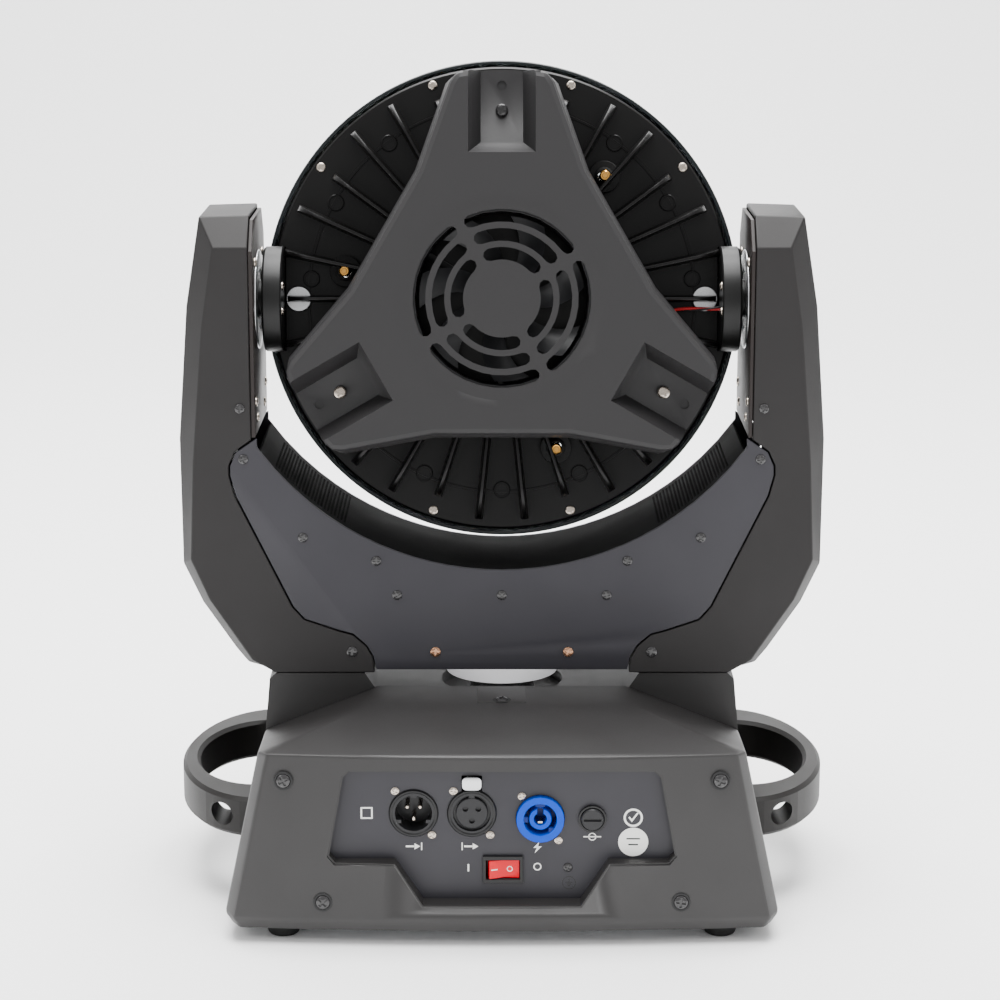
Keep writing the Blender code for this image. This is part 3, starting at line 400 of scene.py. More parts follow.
# ---------------------------------------------------------------- repeats by Geometry Nodes
def scatter(name, unit, spots, look, matrix=None, smooth=30.0):
    """Copies of one mesh at many places, instanced by Geometry Nodes and made real.

    Args:
        name: name of the resulting piece.
        unit: object whose mesh is repeated; it is removed afterwards.
        spots: list of (position in mm, rotation Euler, scale vector).
        look: finish of the copies.
        matrix: placement of the whole group, in metres.
        smooth: smooth shading angle in degrees.

    Returns:
        One plain mesh object with every copy.
    """
    mesh = bpy.data.meshes.new(name)
    mesh.from_pydata([Vector(p) * MM for p, _, _ in spots], [], [])
    turn = mesh.attributes.new("turn", "FLOAT_VECTOR", "POINT")
    size = mesh.attributes.new("size", "FLOAT_VECTOR", "POINT")
    for i, (_, rotation, scale) in enumerate(spots):
        turn.data[i].vector = tuple(rotation)
        size.data[i].vector = scale
    obj = bpy.data.objects.new(name, mesh)
    bpy.context.scene.collection.objects.link(obj)

    tree = bpy.data.node_groups.new(f"{name}_repeat", "GeometryNodeTree")
    tree.interface.new_socket("Spots", in_out="INPUT", socket_type="NodeSocketGeometry")
    tree.interface.new_socket("Unit", in_out="INPUT", socket_type="NodeSocketObject")
    tree.interface.new_socket("Finish", in_out="INPUT", socket_type="NodeSocketMaterial")
    tree.interface.new_socket("Copies", in_out="OUTPUT", socket_type="NodeSocketGeometry")
    nodes, link = tree.nodes, tree.links.new
    entry, leave = nodes.new("NodeGroupInput"), nodes.new("NodeGroupOutput")
    info = nodes.new("GeometryNodeObjectInfo")
    instance = nodes.new("GeometryNodeInstanceOnPoints")
    turns, sizes = (nodes.new("GeometryNodeInputNamedAttribute") for _ in range(2))
    for node, attribute in ((turns, "turn"), (sizes, "size")):
        node.data_type = "FLOAT_VECTOR"
        node.inputs["Name"].default_value = attribute
    to_rotation = nodes.new("FunctionNodeEulerToRotation")
    realize, paint = nodes.new("GeometryNodeRealizeInstances"), nodes.new("GeometryNodeSetMaterial")
    link(entry.outputs["Spots"], instance.inputs["Points"])
    link(entry.outputs["Unit"], info.inputs["Object"])
    link(info.outputs["Geometry"], instance.inputs["Instance"])
    link(turns.outputs["Attribute"], to_rotation.inputs["Euler"])
    link(to_rotation.outputs["Rotation"], instance.inputs["Rotation"])
    link(sizes.outputs["Attribute"], instance.inputs["Scale"])
    link(instance.outputs["Instances"], realize.inputs["Geometry"])
    link(realize.outputs["Geometry"], paint.inputs["Geometry"])
    link(entry.outputs["Finish"], paint.inputs["Material"])
    link(paint.outputs["Geometry"], leave.inputs["Copies"])
    modifier = obj.modifiers.new("repeat", "NODES")
    modifier.node_group = tree
    identifiers = {item.name: item.identifier for item in tree.interface.items_tree}
    modifier[identifiers["Unit"]] = unit
    modifier[identifiers["Finish"]] = make_material(look)
    bake_modifiers(obj, smooth)
    if matrix is not None:
        obj.data.transform(matrix)
    bpy.data.objects.remove(unit, do_unlink=True)
    return obj


SCREW_UNIT_R = 100.0    # millimetres; the recess is cut at this size, because a cut at true size can fail


def screw_unit(name):
    """Pan-head screw of SCREW_UNIT_R along -Y, with a crossed recess."""
    r = SCREW_UNIT_R
    profile = [(0.0, -0.42), (0.42, -0.41), (0.74, -0.35), (0.94, -0.22), (1.0, -0.06), (1.0, 0.1), (0.0, 0.1)]
    obj = to_object(name, lathe([(u * r, t * r) for u, t in profile], "Y", steps=28), None)
    arm, half = 0.7 * r, 0.17 * r
    corner = [(arm, half), (half, half), (half, arm)]
    outline = []
    for k in range(4):
        turn = math.radians(90.0 * k)
        outline += [(u * math.cos(turn) - v * math.sin(turn), u * math.sin(turn) + v * math.cos(turn))
                    for u, v in corner]
    return boolean(obj, prism(outline, "Y", -0.9 * r, -0.08 * r))


def facing(normal, spin_deg=25.0):
    """Euler rotation that turns -Y to a normal, after a spin about the screw's own axis."""
    turn = Vector((0.0, -1.0, 0.0)).rotation_difference(Vector(normal).normalized()).to_matrix()
    return (turn @ Matrix.Rotation(math.radians(spin_deg), 3, "Y")).to_euler()


def screws(name, body, look, spots, matrix=None):
    """A group of screws: spots are (position, normal, radius) in millimetres."""
    unit = screw_unit(f"{name}_unit")
    placed = [(p, facing(n, 25.0 + 37.0 * i), (r / SCREW_UNIT_R,) * 3) for i, (p, n, r) in enumerate(spots)]
    return adopt(scatter(name, unit, placed, look, matrix), body)


# ---------------------------------------------------------------- base
@dataclass
class Base:
    """Covers, handles, feet and the two panels of the floor base."""

    frame: dict
    xlr_in: tuple = (-45.9, 69.3)
    xlr_out: tuple = (-15.6, 69.3)
    power: tuple = (19.9, 66.4)
    fuse: tuple = (47.0, 66.4)
    switch: tuple = (0.5, 38.6)
    buttons: tuple = ((32.0, 73.0), (32.0, 51.0), (20.0, 62.0), (44.0, 62.0))
    panel_y: float = field(init=False)
    display_y: float = field(init=False)

    def __post_init__(self):
        self.panel_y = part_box("connector_panel")[0].y / MM
        self.display_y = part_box("display_panel")[1].y / MM

    def build(self):
        """Make every piece that rides on the base or on its small controls."""
        self.covers()
        self.cover_screws()
        self.xlr_sockets()
        self.power_socket()
        self.fuse_and_switch()
        self.panel_screws()
        self.panel_marks()
        self.display()
        self.inner_parts()

    def piece(self, name, bm, look, slot):
        """Place a mesh and let it ride on the base."""
        return adopt(to_object(name, bm, look), "base")

    def covers(self):
        """Outer shells, handles and feet."""
        for node in ("base_rear_cover", "base_front_cover", "base_center_frame"):
            refined(self.frame, node, Look.BASE_COVER, smooth=22.0)
        for side in ("left", "right"):
            refined(self.frame, f"handle_{side}", Look.HANDLE, smooth=35.0)
        for number in range(1, 5):
            refined(self.frame, f"rubber_foot_{number}", Look.RUBBER, 0.4)
        for node in ("connector_panel", "display_panel"):
            refined(self.frame, node, Look.SOCKET_PANEL)
        patch = soften(prism(rounded_rect(13.3, 14.5, 0.8, (0.0, -50.5), 3), "Z", 109.4, 110.4), 0.3, 2)
        self.piece("top_patch", patch, Look.BASE_COVER, "cover_black")
        # A thin dark ring round the top screw paints the shade of its counterbore; no recess is cut.
        well = lathe([(3.0, 110.45), (5.0, 110.45), (5.0, 110.2), (3.0, 110.2)], "Z", (0.0, -61.0), 32)
        self.piece("top_patch_counterbore", well, Look.RUBBER, "plastic_black")

    def wall_y(self, x, z):
        """Where the rear wall of the cover stands at a point."""
        return -(140.0 - 7.0 / 86.0 * (z - 14.0)) + 6.0 * (x / 138.0) ** 2

    def cover_screws(self):
        """Screws of the two covers, each inside a dark plastic ring that paints the shade of its counterbore.
        """
        spots, rings = [], []
        for sign in (1.0, -1.0):
            for x, z in ((113.0, 88.0), (-113.0, 88.0), (93.0, 24.0), (-93.0, 24.0)):
                y = sign * self.wall_y(x, z)
                normal = Vector((0.0, -sign, 0.08))
                spots.append(((x, y - sign * 0.1, z), normal, 3.7))
                rings.append(((x, y - sign * 0.25, z), facing(normal, 0.0), (1.0, 1.0, 1.0)))
        screws("base_cover_screws", "base", Look.SCREW_BLACK, spots)
        # A dark plastic ring round each screw paints the shade of its counterbore; no recess is cut.
        washer = lathe([(3.6, 0.3), (5.0, 0.3), (5.0, -0.1), (4.7, -0.3), (3.9, -0.3), (3.6, 0.0)], "Y",
                       steps=32)
        unit = to_object("washer_unit", washer, None)
        adopt(scatter("base_screw_washers", unit, rings, Look.PLASTIC), "base")
        screws("base_top_screw", "base", Look.SCREW_BLACK,
               [((0.0, -61.0, 110.5), (0.0, 0.0, 1.0), 3.2)])

    def ring_of_pins(self, name, center, circle_r, pin_r, low, high, look, angles):
        """Small round pins on a circle inside a socket."""
        bm = bmesh.new()
        for angle in angles:
            u, v = polar(circle_r, angle)
            lathe([(0.0, high), (pin_r, high), (pin_r, low + 0.5), (pin_r * 0.6, low), (0.0, low)], "Y",
                  (center[0] + u, center[1] + v), 16, bm)
        return self.piece(name, bm, look, "plastic_black")

    def xlr_sockets(self):
        """Input socket with pins, output socket with an insert, latch tab and collar rings."""
        for node in ("xlr_in_socket", "xlr_out_socket"):
            refined(self.frame, node, Look.INSERT, 0.3, edge_angle=50.0)
        y = self.panel_y
        self.ring_of_pins("xlr_in_pins", self.xlr_in, 4.1, 1.15, y + 2.0, y + 13.0, Look.SCREW_SILVER,
                          (35.0, 145.0, 270.0))
        for name, center in (("xlr_in_collar", self.xlr_in), ("xlr_out_collar", self.xlr_out)):
            ring = lathe([(11.0, y - 0.9), (11.6, y - 1.3), (12.3, y - 1.3), (12.9, y - 0.6), (12.9, y - 0.05),
                          (11.0, y - 0.05)], "Y", center, 64)
            self.piece(name, ring, Look.PLASTIC, "plastic_black")
        bm = lathe([(8.3, y + 1.2), (8.3, y - 0.4), (7.9, y - 0.8), (0.0, y - 0.8), (0.0, y + 1.2)], "Y",
                   self.xlr_out, 48)
        insert = to_object("xlr_out_insert", bm, Look.INSERT)
        holes = bmesh.new()
        for angle in (145.0, 35.0, 270.0):
            u, v = polar(4.1, angle)
            prism(circle((self.xlr_out[0] + u, self.xlr_out[1] + v), 1.5, 20), "Y", y - 3.0, y + 0.9, holes)
        boolean(insert, holes)
        adopt(insert, "base")
        keys = bmesh.new()
        for center, count in ((self.xlr_in, 3), (self.xlr_out, 1)):
            for k in range(count):
                u, v = polar(9.1, 90.0 + 120.0 * k)
                spot = (center[0] + u, center[1] + v)
                prism(rounded_rect(1.5, 0.9, 0.3, spot, 2), "Y", y - 0.6, y + 2.0, keys)
        self.piece("xlr_keys", keys, Look.INSERT, "plastic_black")
        x, z = self.xlr_out[0], self.xlr_out[1] + 16.5
        tab = prism(rounded_rect(5.0, 3.5, 2.2, (x, z), 5), "Y", y - 2.3, y - 1.2)
        prism(rounded_rect(2.6, 2.6, 0.6, (x, z - 0.9), 3), "Y", y - 1.2, y + 6.0, tab)
        adopt(to_object("latch_tab_skin", soften(tab, 0.3, 2, 40.0), Look.STEEL), "xlr_latch_tab",
              ("xlr_latch_tab",))

    def power_socket(self):
        """Blue locking mains inlet: outer ring, channel with a darker blue floor and keys that paint the shade
        inside it, inner ring with contacts.
        """
        refined(self.frame, "power_inlet", Look.BLUE, 0.5, edge_angle=50.0)
        x, z = self.power
        y = self.panel_y - 3.0
        ring = lathe([(3.4, y + 1.4), (5.6, y + 1.4), (5.9, y + 1.8), (5.9, y + 12.0), (3.4, y + 12.0)], "Y",
                     self.power, 48)
        inner = to_object("power_inlet_core", ring, Look.BLUE)
        boolean(inner, prism(rounded_rect(1.7, 3.0, 0.3, (x, z + 4.8), 2), "Y", y - 2.0, y + 9.0))
        adopt(inner, "base")
        # The channel floor is painted a darker blue for the shade inside the channel.
        well = lathe([(5.9, y + 11.0), (8.6, y + 11.0), (8.6, y + 12.5), (5.9, y + 12.5)], "Y", self.power, 40)
        lathe([(0.0, y + 10.0), (3.4, y + 10.0), (3.4, y + 12.5), (0.0, y + 12.5)], "Y", self.power, 32, well)
        self.piece("power_inlet_well", well, Look.BLUE_DARK, "plastic_blue")
        # The keys inside the channel take the darker blue as painted shade.
        key = prism(rounded_rect(2.6, 1.1, 0.5, (x, z + 8.1), 3), "Y", y + 0.4, y + 5.0)
        prism(rounded_rect(1.2, 1.6, 0.4, (x - 7.6, z), 3), "Y", y + 0.6, y + 5.0, key)
        prism(rounded_rect(1.4, 1.4, 0.4, (x + 5.7, z - 5.7), 3), "Y", y + 0.6, y + 5.0, key)
        self.piece("power_inlet_keys", soften(key, 0.2, 2), Look.BLUE_DARK, "plastic_blue")
        contact = prism(rounded_rect(1.2, 0.5, 0.2, (x, z - 2.2), 2), "Y", y + 3.0, y + 9.0)
        self.piece("power_inlet_contact", contact, Look.SCREW_SILVER, "plastic_blue")

    def fuse_and_switch(self):
        """Fuse cap with a slot, switch frame and red rocker with its two marks."""
        refined(self.frame, "fuse_holder", Look.PLASTIC, 0.3, edge_angle=50.0)
        refined(self.frame, "fuse_cap", Look.INSERT, 0.25, edge_angle=50.0)
        refined(self.frame, "switch_bezel", Look.PLASTIC, 0.4, edge_angle=50.0)
        refined(self.frame, "power_switch_rocker", Look.RED, 0.35, edge_angle=25.0)
        x, z = self.switch
        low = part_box("power_switch_rocker")[0].y / MM
        marks = prism(rounded_rect(1.7, 0.28, 0.2, (x - 4.4, z), 2), "Y", low - 0.12, low + 2.0)
        adopt(self.on_rocker("rocker_mark_line", marks), "power_switch_rocker")
        ring = lathe([(1.1, low - 0.1), (1.55, low - 0.1), (1.55, low + 3.0), (1.1, low + 3.0)], "Y",
                     (x + 3.6, z), 28)
        adopt(self.on_rocker("rocker_mark_ring", ring), "power_switch_rocker")

    def on_rocker(self, name, bm):
        """Print that hugs the rocker: only what stands just proud of its face is kept."""
        obj = to_object(name, bm, Look.PRINT)
        source = self.frame["nodes"]["power_switch_rocker"]
        tool = bpy.data.objects.new("rocker_copy", source.data.copy())
        bpy.context.scene.collection.objects.link(tool)
        tool.location = (0.0, -0.1 * MM, 0.0)
        weld = tool.modifiers.new("weld", "WELD")
        weld.merge_threshold = 1e-6
        modifier = obj.modifiers.new("hug", "BOOLEAN")
        modifier.operation = "INTERSECT"
        modifier.object = tool
        bake_modifiers(obj)
        bpy.data.objects.remove(tool, do_unlink=True)
        return obj

    def panel_screws(self):
        """Screws of the sockets, the earth screw, and their front counterparts."""
        y = self.panel_y
        back = (0.0, -1.0, 0.0)
        spots = []
        for x, z in (self.xlr_in, self.xlr_out, self.power):
            spots += [((x - 9.5, y, z + 12.0), back, 2.25), ((x + 9.5, y, z - 12.0), back, 2.25)]
        screws("socket_screws", "base", Look.SCREW_SILVER, spots)
        screws("earth_screw", "base", Look.SCREW_BLACK, [((34.4, y, 39.4), back, 2.5)])
        front = [((x, self.display_y, z), (0.0, 1.0, 0.0), 1.9)
                 for x in (-67.0, 67.0) for z in (43.0, 81.0)]
        screws("display_screws", "base", Look.SCREW_BLACK, front)

    def mark(self, name, outlines, look=Look.PRINT, y=None, sign=-1.0):
        """Thin printed shapes on a panel."""
        y = self.panel_y if y is None else y
        bm = bmesh.new()
        for outline in outlines:
            prism(outline, "Y", y + sign * 0.12, y - sign * 0.1, bm)
        return self.piece(name, bm, look, "panel_grey")

    def ring_outline(self, name, center, inner, outer, look=Look.PRINT):
        """Thin printed ring on the socket panel."""
        y = self.panel_y
        bm = lathe([(inner, y - 0.12), (outer, y - 0.12), (outer, y + 0.1), (inner, y + 0.1)], "Y", center, 48)
        return self.piece(name, bm, look, "panel_grey")

    def panel_marks(self):
        """Generic pictograms beside the sockets, and two plain stickers."""
        def arrow(x, z, sign):
            return [[(x - 3.6, z - 0.45), (x + 0.8, z - 0.45), (x + 0.8, z + 0.45), (x - 3.6, z + 0.45)],
                    [(x + 0.9, z - 1.7), (x + 3.8, z), (x + 0.9, z + 1.7)],
                    [(x + sign * 4.6 - 0.3, z - 2.1), (x + sign * 4.6 + 0.3, z - 2.1),
                     (x + sign * 4.6 + 0.3, z + 2.1), (x + sign * 4.6 - 0.3, z + 2.1)]]

        self.mark("mark_in", arrow(-46.4, 51.0, 1.0))
        self.mark("mark_out", arrow(-16.1, 51.0, -1.0))
        bolt = [(19.4, 53.4), (16.4, 50.2), (18.2, 50.2), (17.0, 47.2), (20.7, 51.0), (18.8, 51.0)]
        self.mark("mark_power", [bolt])
        self.mark("mark_fuse", [rounded_rect(4.6, 0.3, 0.1, (47.0, 56.3), 1)])
        self.ring_outline("mark_fuse_ring", (47.0, 56.3), 1.6, 2.1)
        self.mark("mark_on", [rounded_rect(0.45, 2.1, 0.3, (-17.5, 39.2), 2)])
        self.ring_outline("mark_off", (18.5, 39.8), 1.5, 2.1)
        self.mark("mark_class", [rounded_rect(0.4, 3.2, 0.2, (-73.0, 69.3), 1),
                                 rounded_rect(0.4, 3.2, 0.2, (-67.5, 69.3), 1),
                                 rounded_rect(2.6, 0.4, 0.2, (-70.25, 72.1), 1),
                                 rounded_rect(2.6, 0.4, 0.2, (-70.25, 66.5), 1)])
        self.ring_outline("mark_check_ring", (68.2, 66.7), 3.9, 5.0)
        check = [(65.7, 66.7), (67.5, 64.3), (71.0, 69.1), (70.3, 69.6), (67.5, 65.9), (66.3, 67.4)]
        self.mark("mark_check", [check])
        self.mark("sticker", [circle((68.3, 53.4), 7.8, 48)])
        self.mark("sticker_lines", [rounded_rect(3.6, 0.35, 0.2, (68.3, 55.2), 1),
                                    rounded_rect(2.6, 0.35, 0.2, (68.3, 52.0), 1)],
                  Look.PLASTIC, self.panel_y - 0.12)
        self.ring_outline("earth_ring", (35.0, 31.0), 3.2, 3.6, Look.PLASTIC)
        self.mark("earth_bars", [rounded_rect(0.25, 1.0, 0.1, (35.0, 32.4), 1),
                                 rounded_rect(1.9, 0.25, 0.1, (35.0, 31.2), 1),
                                 rounded_rect(1.2, 0.25, 0.1, (35.0, 30.3), 1),
                                 rounded_rect(0.6, 0.25, 0.1, (35.0, 29.4), 1)], Look.PLASTIC)

    def display(self):
        """Screen with plain bars, and four buttons with arrow marks."""
        refined(self.frame, "display_module", Look.SCREEN, 0.25, edge_angle=50.0)
        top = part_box("display_module")[1].y / MM
        bars = [rounded_rect(10.0, 1.0, 0.4, (-36.0, 71.0), 2), rounded_rect(16.0, 1.2, 0.4, (-36.0, 64.0), 2),
                rounded_rect(7.0, 1.2, 0.4, (-45.0, 57.5), 2)]
        self.mark("screen_bars", bars, Look.GLOW, top, 1.0)
        for number, (x, z) in enumerate(self.buttons, 1):
            body = f"menu_button_{number}"
            refined(self.frame, body, Look.RUBBER, 0.3, edge_angle=40.0)
            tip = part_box(body)[1].y / MM
            way = math.degrees(math.atan2(z - 62.0, x - 32.0))
            corners = (polar(1.8, way), polar(1.6, way + 130.0), polar(1.6, way - 130.0))
            arrow = [(x + u, z + v) for u, v in corners]
            bm = prism(arrow, "Y", tip - 0.2, tip + 0.1)
            adopt(to_object(f"button_mark_{number}", bm, Look.PRINT), body)

    def inner_parts(self):
        """Plate, power supply, spindle and pulley inside the base."""
        refined(self.frame, "base_plate", Look.ALUMINIUM)
        refined(self.frame, "power_supply", Look.ALUMINIUM, 0.8)
        refined(self.frame, "pan_spindle", Look.STEEL, 0.4)
        refined(self.frame, "pan_ring_pulley", Look.ALUMINIUM, 0.4)


# ---------------------------------------------------------------- yoke
@dataclass
class Yoke:
    """Arms, panels, band and drives."""

    frame: dict
    band_center: float = 338.0
    band_r: float = 161.0
    band_thick: float = 2.0
    field_start: float = 32.0       # degrees from the lowest point of the band
    field_step: float = 0.78
    field_rows: int = 23
    field_columns: int = 25
    hole_pitch: float = 2.5
    hole_r: float = 0.85

    def build(self):
        """Make every piece that rides on the yoke."""
        for side in ("left", "right"):
            refined(self.frame, f"{side}_arm_cover", Look.COVER, 0.9, smooth=28.0, edge_angle=20.0)
            refined(self.frame, f"{side}_arm_plate", Look.ARM_PLATE, 0.3)
            refined(self.frame, f"{side}_tilt_bearing", Look.STEEL, 0.3)
        for side in ("rear", "front"):
            refined(self.frame, f"yoke_{side}_panel", Look.PANEL, 0.4, edge_angle=60.0)
        # The pan hub takes the collar finish, whose near-white colour and emission are painted light.
        refined(self.frame, "yoke_pan_hub", Look.COLLAR, 0.5, edge_angle=50.0)
        for node, look in (("pan_motor", Look.PLASTIC), ("tilt_motor", Look.PLASTIC),
                           ("pan_belt", Look.RUBBER), ("tilt_belt", Look.RUBBER),
                           ("pan_motor_pulley", Look.BRASS), ("tilt_motor_pulley", Look.BRASS)):
            refined(self.frame, node, look, 0.3, edge_angle=40.0)
        self.band()
        self.panel_screws()
        self.arm_plate_trim()

    def band(self):
        """Curved strip with two perforated fields."""
        low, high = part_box("yoke_band")
        half_y, reach = high.y / MM, math.asin(high.x / MM / (self.band_r + self.band_thick))
        inner, outer = [], []
        for k in range(97):
            a = -reach + 2.0 * reach * k / 96
            for points, radius in ((inner, self.band_r), (outer, self.band_r + self.band_thick)):
                points.append((radius * math.sin(a), self.band_center - radius * math.cos(a)))
        strip = soften(prism(outer + inner[::-1], "Y", -half_y, half_y), 0.3, 2, 50.0)
        strip = to_object("yoke_band_skin", strip, Look.BAND)
        unit = to_object("hole_unit", prism(circle((0.0, 0.0), self.hole_r, 8), "Z", -3.0, 3.0), None)
        spots = []
        middle = self.band_r + self.band_thick / 2.0
        for side in (-1.0, 1.0):
            for row in range(self.field_rows):
                angle = side * math.radians(self.field_start + row * self.field_step)
                for column in range(self.field_columns):
                    y = (column - self.field_columns // 2 + row % 2 / 2.0) * self.hole_pitch
                    spot = (middle * math.sin(angle), y, self.band_center - middle * math.cos(angle))
                    spots.append((spot, (0.0, -angle, 0.0), (1.0, 1.0, 1.0)))
        holes = scatter("band_holes", unit, spots, Look.BAND)
        modifier = strip.modifiers.new("perforate", "BOOLEAN")
        modifier.object = holes
        modifier.solver = "MANIFOLD"
        bake_modifiers(strip, 20.0)
        bpy.data.objects.remove(holes, do_unlink=True)
        adopt(strip, "yoke", ("yoke_band",))

    def panel_screws(self):
        """Screws on both faces of the yoke, in three groups and two finishes."""
        groups = {
            "yoke_screws": (Look.SCREW_BLACK, 2.75,
                            ((140.0, 266.0), (138.7, 238.3), (107.4, 195.1), (67.9, 182.2), (56.8, 163.0),
                             (0.0, 163.0))),
            "yoke_low_screws": (Look.SCREW_BLACK, 3.1, ((81.5, 131.0),)),
            "yoke_bronze_screws": (Look.SCREW_BRONZE, 2.9, ((36.1, 131.0),)),
        }
        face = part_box("yoke_rear_panel")[0].y / MM
        for name, (look, radius, places) in groups.items():
            spots = []
            for x, z in places:
                for side in ((1.0, -1.0) if x else (1.0,)):
                    for way in (1.0, -1.0):
                        spots.append(((side * x, way * face, z), (0.0, -way, 0.0), radius))
            screws(name, "yoke", look, spots)

    def arm_plate_trim(self):
        """Screws on the inner arm plates and a trim ring round each tilt bearing."""
        spots = []
        for side in (-1.0, 1.0):
            for y in (-22.0, 22.0):
                spots.append(((side * 132.0, y, 258.0), (-side, 0.0, 0.0), 2.6))
                spots.append(((side * 132.0, y, 342.0), (-side, 0.0, 0.0), 2.6))
            spots += [((side * 132.0, y, 268.0), (-side, 0.0, 0.0), 2.6) for y in (-30.0, 30.0)]
        screws("arm_plate_screws", "yoke", Look.SCREW_SILVER, spots)
        for side, sign in (("left", -1.0), ("right", 1.0)):
            lip = [(16.0, sign * 132.0), (27.0, sign * 132.0), (26.6, sign * 131.3), (16.4, sign * 131.3)]
            trim = soften(lathe(lip, "X", (0.0, 319.0), 64), 0.2, 2)
            adopt(to_object(f"{side}_arm_washer", trim, Look.STEEL), "yoke")


# ---------------------------------------------------------------- head, drawn untilted about the tilt axis
@dataclass
class Head:
    """Heatsink, fan, cover, ring and optics."""

    frame: dict
    fin_pitch: float = 12.0
    lobes: tuple = (90.0, 210.0, 330.0)
    rods: tuple = (50.0, 170.0, 290.0)
    rod_circle: float = 86.0
    sink_r: float = 125.5
    matrix: Matrix = field(default_factory=head_matrix)

    def build(self):
        """Make every piece that rides on the head, its fan or its zoom carriage."""
        self.heatsink()
        self.fins()
        self.rim_marks()
        self.rod_ends()
        self.cover()
        self.fan()
        self.ring_and_hubs()
        self.optics()
        self.leads()

    def piece(self, name, bm, look, slot, replaces=(), smooth=30.0, body="head"):
        """Place a mesh drawn in the untilted head and let it ride."""
        return adopt(to_object(name, bm, look, self.matrix, smooth), body, replaces)

    def hidden(self, degrees):
        """Whether an arm of the cover hides this angle."""
        return any(abs((degrees - lobe + 180.0) % 360.0 - 180.0) < 8.0 for lobe in self.lobes)

    def heatsink(self):
        """Rear disc with a raised ring, a core under the fan, and room for the hubs and rods."""
        r = self.sink_r
        bm = lathe([(0.0, 15.0), (r, 15.0), (r, 6.0), (r - 1.0, 5.0), (105.9, 5.0), (105.7, 4.3), (104.7, 4.3),
                    (104.5, 5.0), (62.0, 5.0), (60.0, -19.0), (58.0, -20.0), (20.0, -20.0), (20.0, 3.0),
                    (0.0, 3.0)], "Y", steps=144)
        sink = to_object("heatsink_body", bm, Look.SINK)
        for sign in (-1.0, 1.0):
            boolean(sink, prism(circle((0.0, 0.0), 28.8, 48), "X", sign * 117.5, sign * 140.0))
        cut = bmesh.new()
        for angle in self.rods:
            prism(circle(polar(self.rod_circle, angle), 3.3, 20), "Y", -30.0, 30.0, cut)
        prism(circle((0.0, 0.0), 4.0, 24), "Y", -30.0, 30.0, cut)
        boolean(sink, cut)
        sink.data.transform(self.matrix)
        adopt(sink, "head", ("head_heatsink",))

    def fins(self):
        """Tapered radial fins with rounded outer ends."""
        side = [(59.0, 5.4), (121.0, 5.4), (120.8, 1.0), (120.0, -7.0), (118.0, -12.0), (114.0, -16.5),
                (108.5, -19.2), (102.0, -20.0), (59.0, -20.0)]
        bm = bmesh.new()
        walls = []
        for way in (-1.0, 1.0):
            walls.append([bm.verts.new((u, d, way * (0.8 + 1.4 * (d + 20.0) / 25.4))) for u, d in side])
        bm.faces.new(walls[0])
        bm.faces.new(walls[1])
        for i in range(len(side)):
            j = (i + 1) % len(side)
            bm.faces.new((walls[0][i], walls[0][j], walls[1][j], walls[1][i]))
        soften(bm, 0.35, 2, 35.0)
        unit = to_object("fin_unit", bm, None)
        spots = []
        for k in range(int(360.0 / self.fin_pitch)):
            angle = k * self.fin_pitch
            if not self.hidden(angle) and angle % 180.0:
                stretch = 113.0 / 121.0 if k % 3 == 0 else 1.0
                spots.append(((0.0, 0.0, 0.0), (0.0, -math.radians(angle), 0.0), (stretch, 1.0, 1.0)))
        for angle in (0.0, 180.0):
            spots.append(((0.0, 0.0, 0.0), (0.0, -math.radians(angle), 0.0), (0.965, 1.0, 0.9)))
        fins = scatter("heatsink_fins", unit, spots, Look.SINK, self.matrix, 35.0)
        adopt(fins, "head")

    def rim_marks(self):
        """Rim screws and moulded round marks."""
        back = (0.0, -1.0, 0.0)
        spots = []
        for k in range(10):
            u, v = polar(121.4, 36.0 * k)
            if abs(v) > 30.0:
                spots.append(((u, 5.0, v), back, 2.6))
        screws("rim_screws", "head", Look.SCREW_SILVER, spots, self.matrix)
        unit = to_object("mark_unit", lathe([(0.0, 0.0), (4.6, 0.0), (4.6, -0.7), (4.2, -1.0), (3.6, -1.0),
                                             (3.4, -0.6), (0.0, -0.6)], "Y", steps=36), None)
        marks = []
        for k in range(15):
            angle = 6.0 + 24.0 * k
            if not self.hidden(angle):
                u, v = polar(104.2, angle)
                marks.append(((u, 5.1, v), (0.0, 0.0, 0.0), (1.0, 1.0, 1.0)))
        adopt(scatter("heatsink_marks", unit, marks, Look.SINK, self.matrix), "head")

    def rod_ends(self):
        """Brass guide rods in black rubber bosses."""
        for number, angle in enumerate(self.rods, 1):
            center = polar(self.rod_circle, angle)
            low, high = -17.0, 39.6
            rod = lathe([(0.0, low), (1.3, low), (1.5, low + 0.6), (2.2, low + 0.5), (2.9, low + 1.2),
                         (2.9, high), (0.0, high)], "Y", center, 32)
            self.piece(f"guide_rod_skin_{number}", rod, Look.BRASS, "brass", (f"guide_rod_{number}",))
            boss = lathe([(3.4, 5.0), (8.7, 5.0), (8.7, -3.0), (8.2, -3.8), (5.2, -4.0), (4.6, -6.4),
                          (4.0, -7.0), (3.4, -7.0)], "Y", center, 48)
            self.piece(f"rod_boss_{number}", boss, Look.RUBBER, "sink_black")

    def cover(self):
        """Three-armed cover, with a dimple and a screw in each pocket."""
        cover = refined(self.frame, "fan_cover", Look.FAN_COVER, 0.0, smooth=15.0)
        dimples = bmesh.new()
        for lobe in self.lobes:
            prism(circle(polar(113.0, lobe), 2.5, 24), "Y", -30.0, -25.0, dimples)
        boolean(cover, dimples, self.matrix, smooth=15.0)
        for name, look, lobes in (("fan_cover_screw_top", Look.SCREW_BLACK, self.lobes[:1]),
                                  ("fan_cover_screws", Look.SCREW_SILVER, self.lobes[1:])):
            spots = [((u, -26.2, v), (0.0, -1.0, 0.0), 3.4)
                     for u, v in (polar(100.0, lobe) for lobe in lobes)]
            screws(name, "head", look, spots, self.matrix)

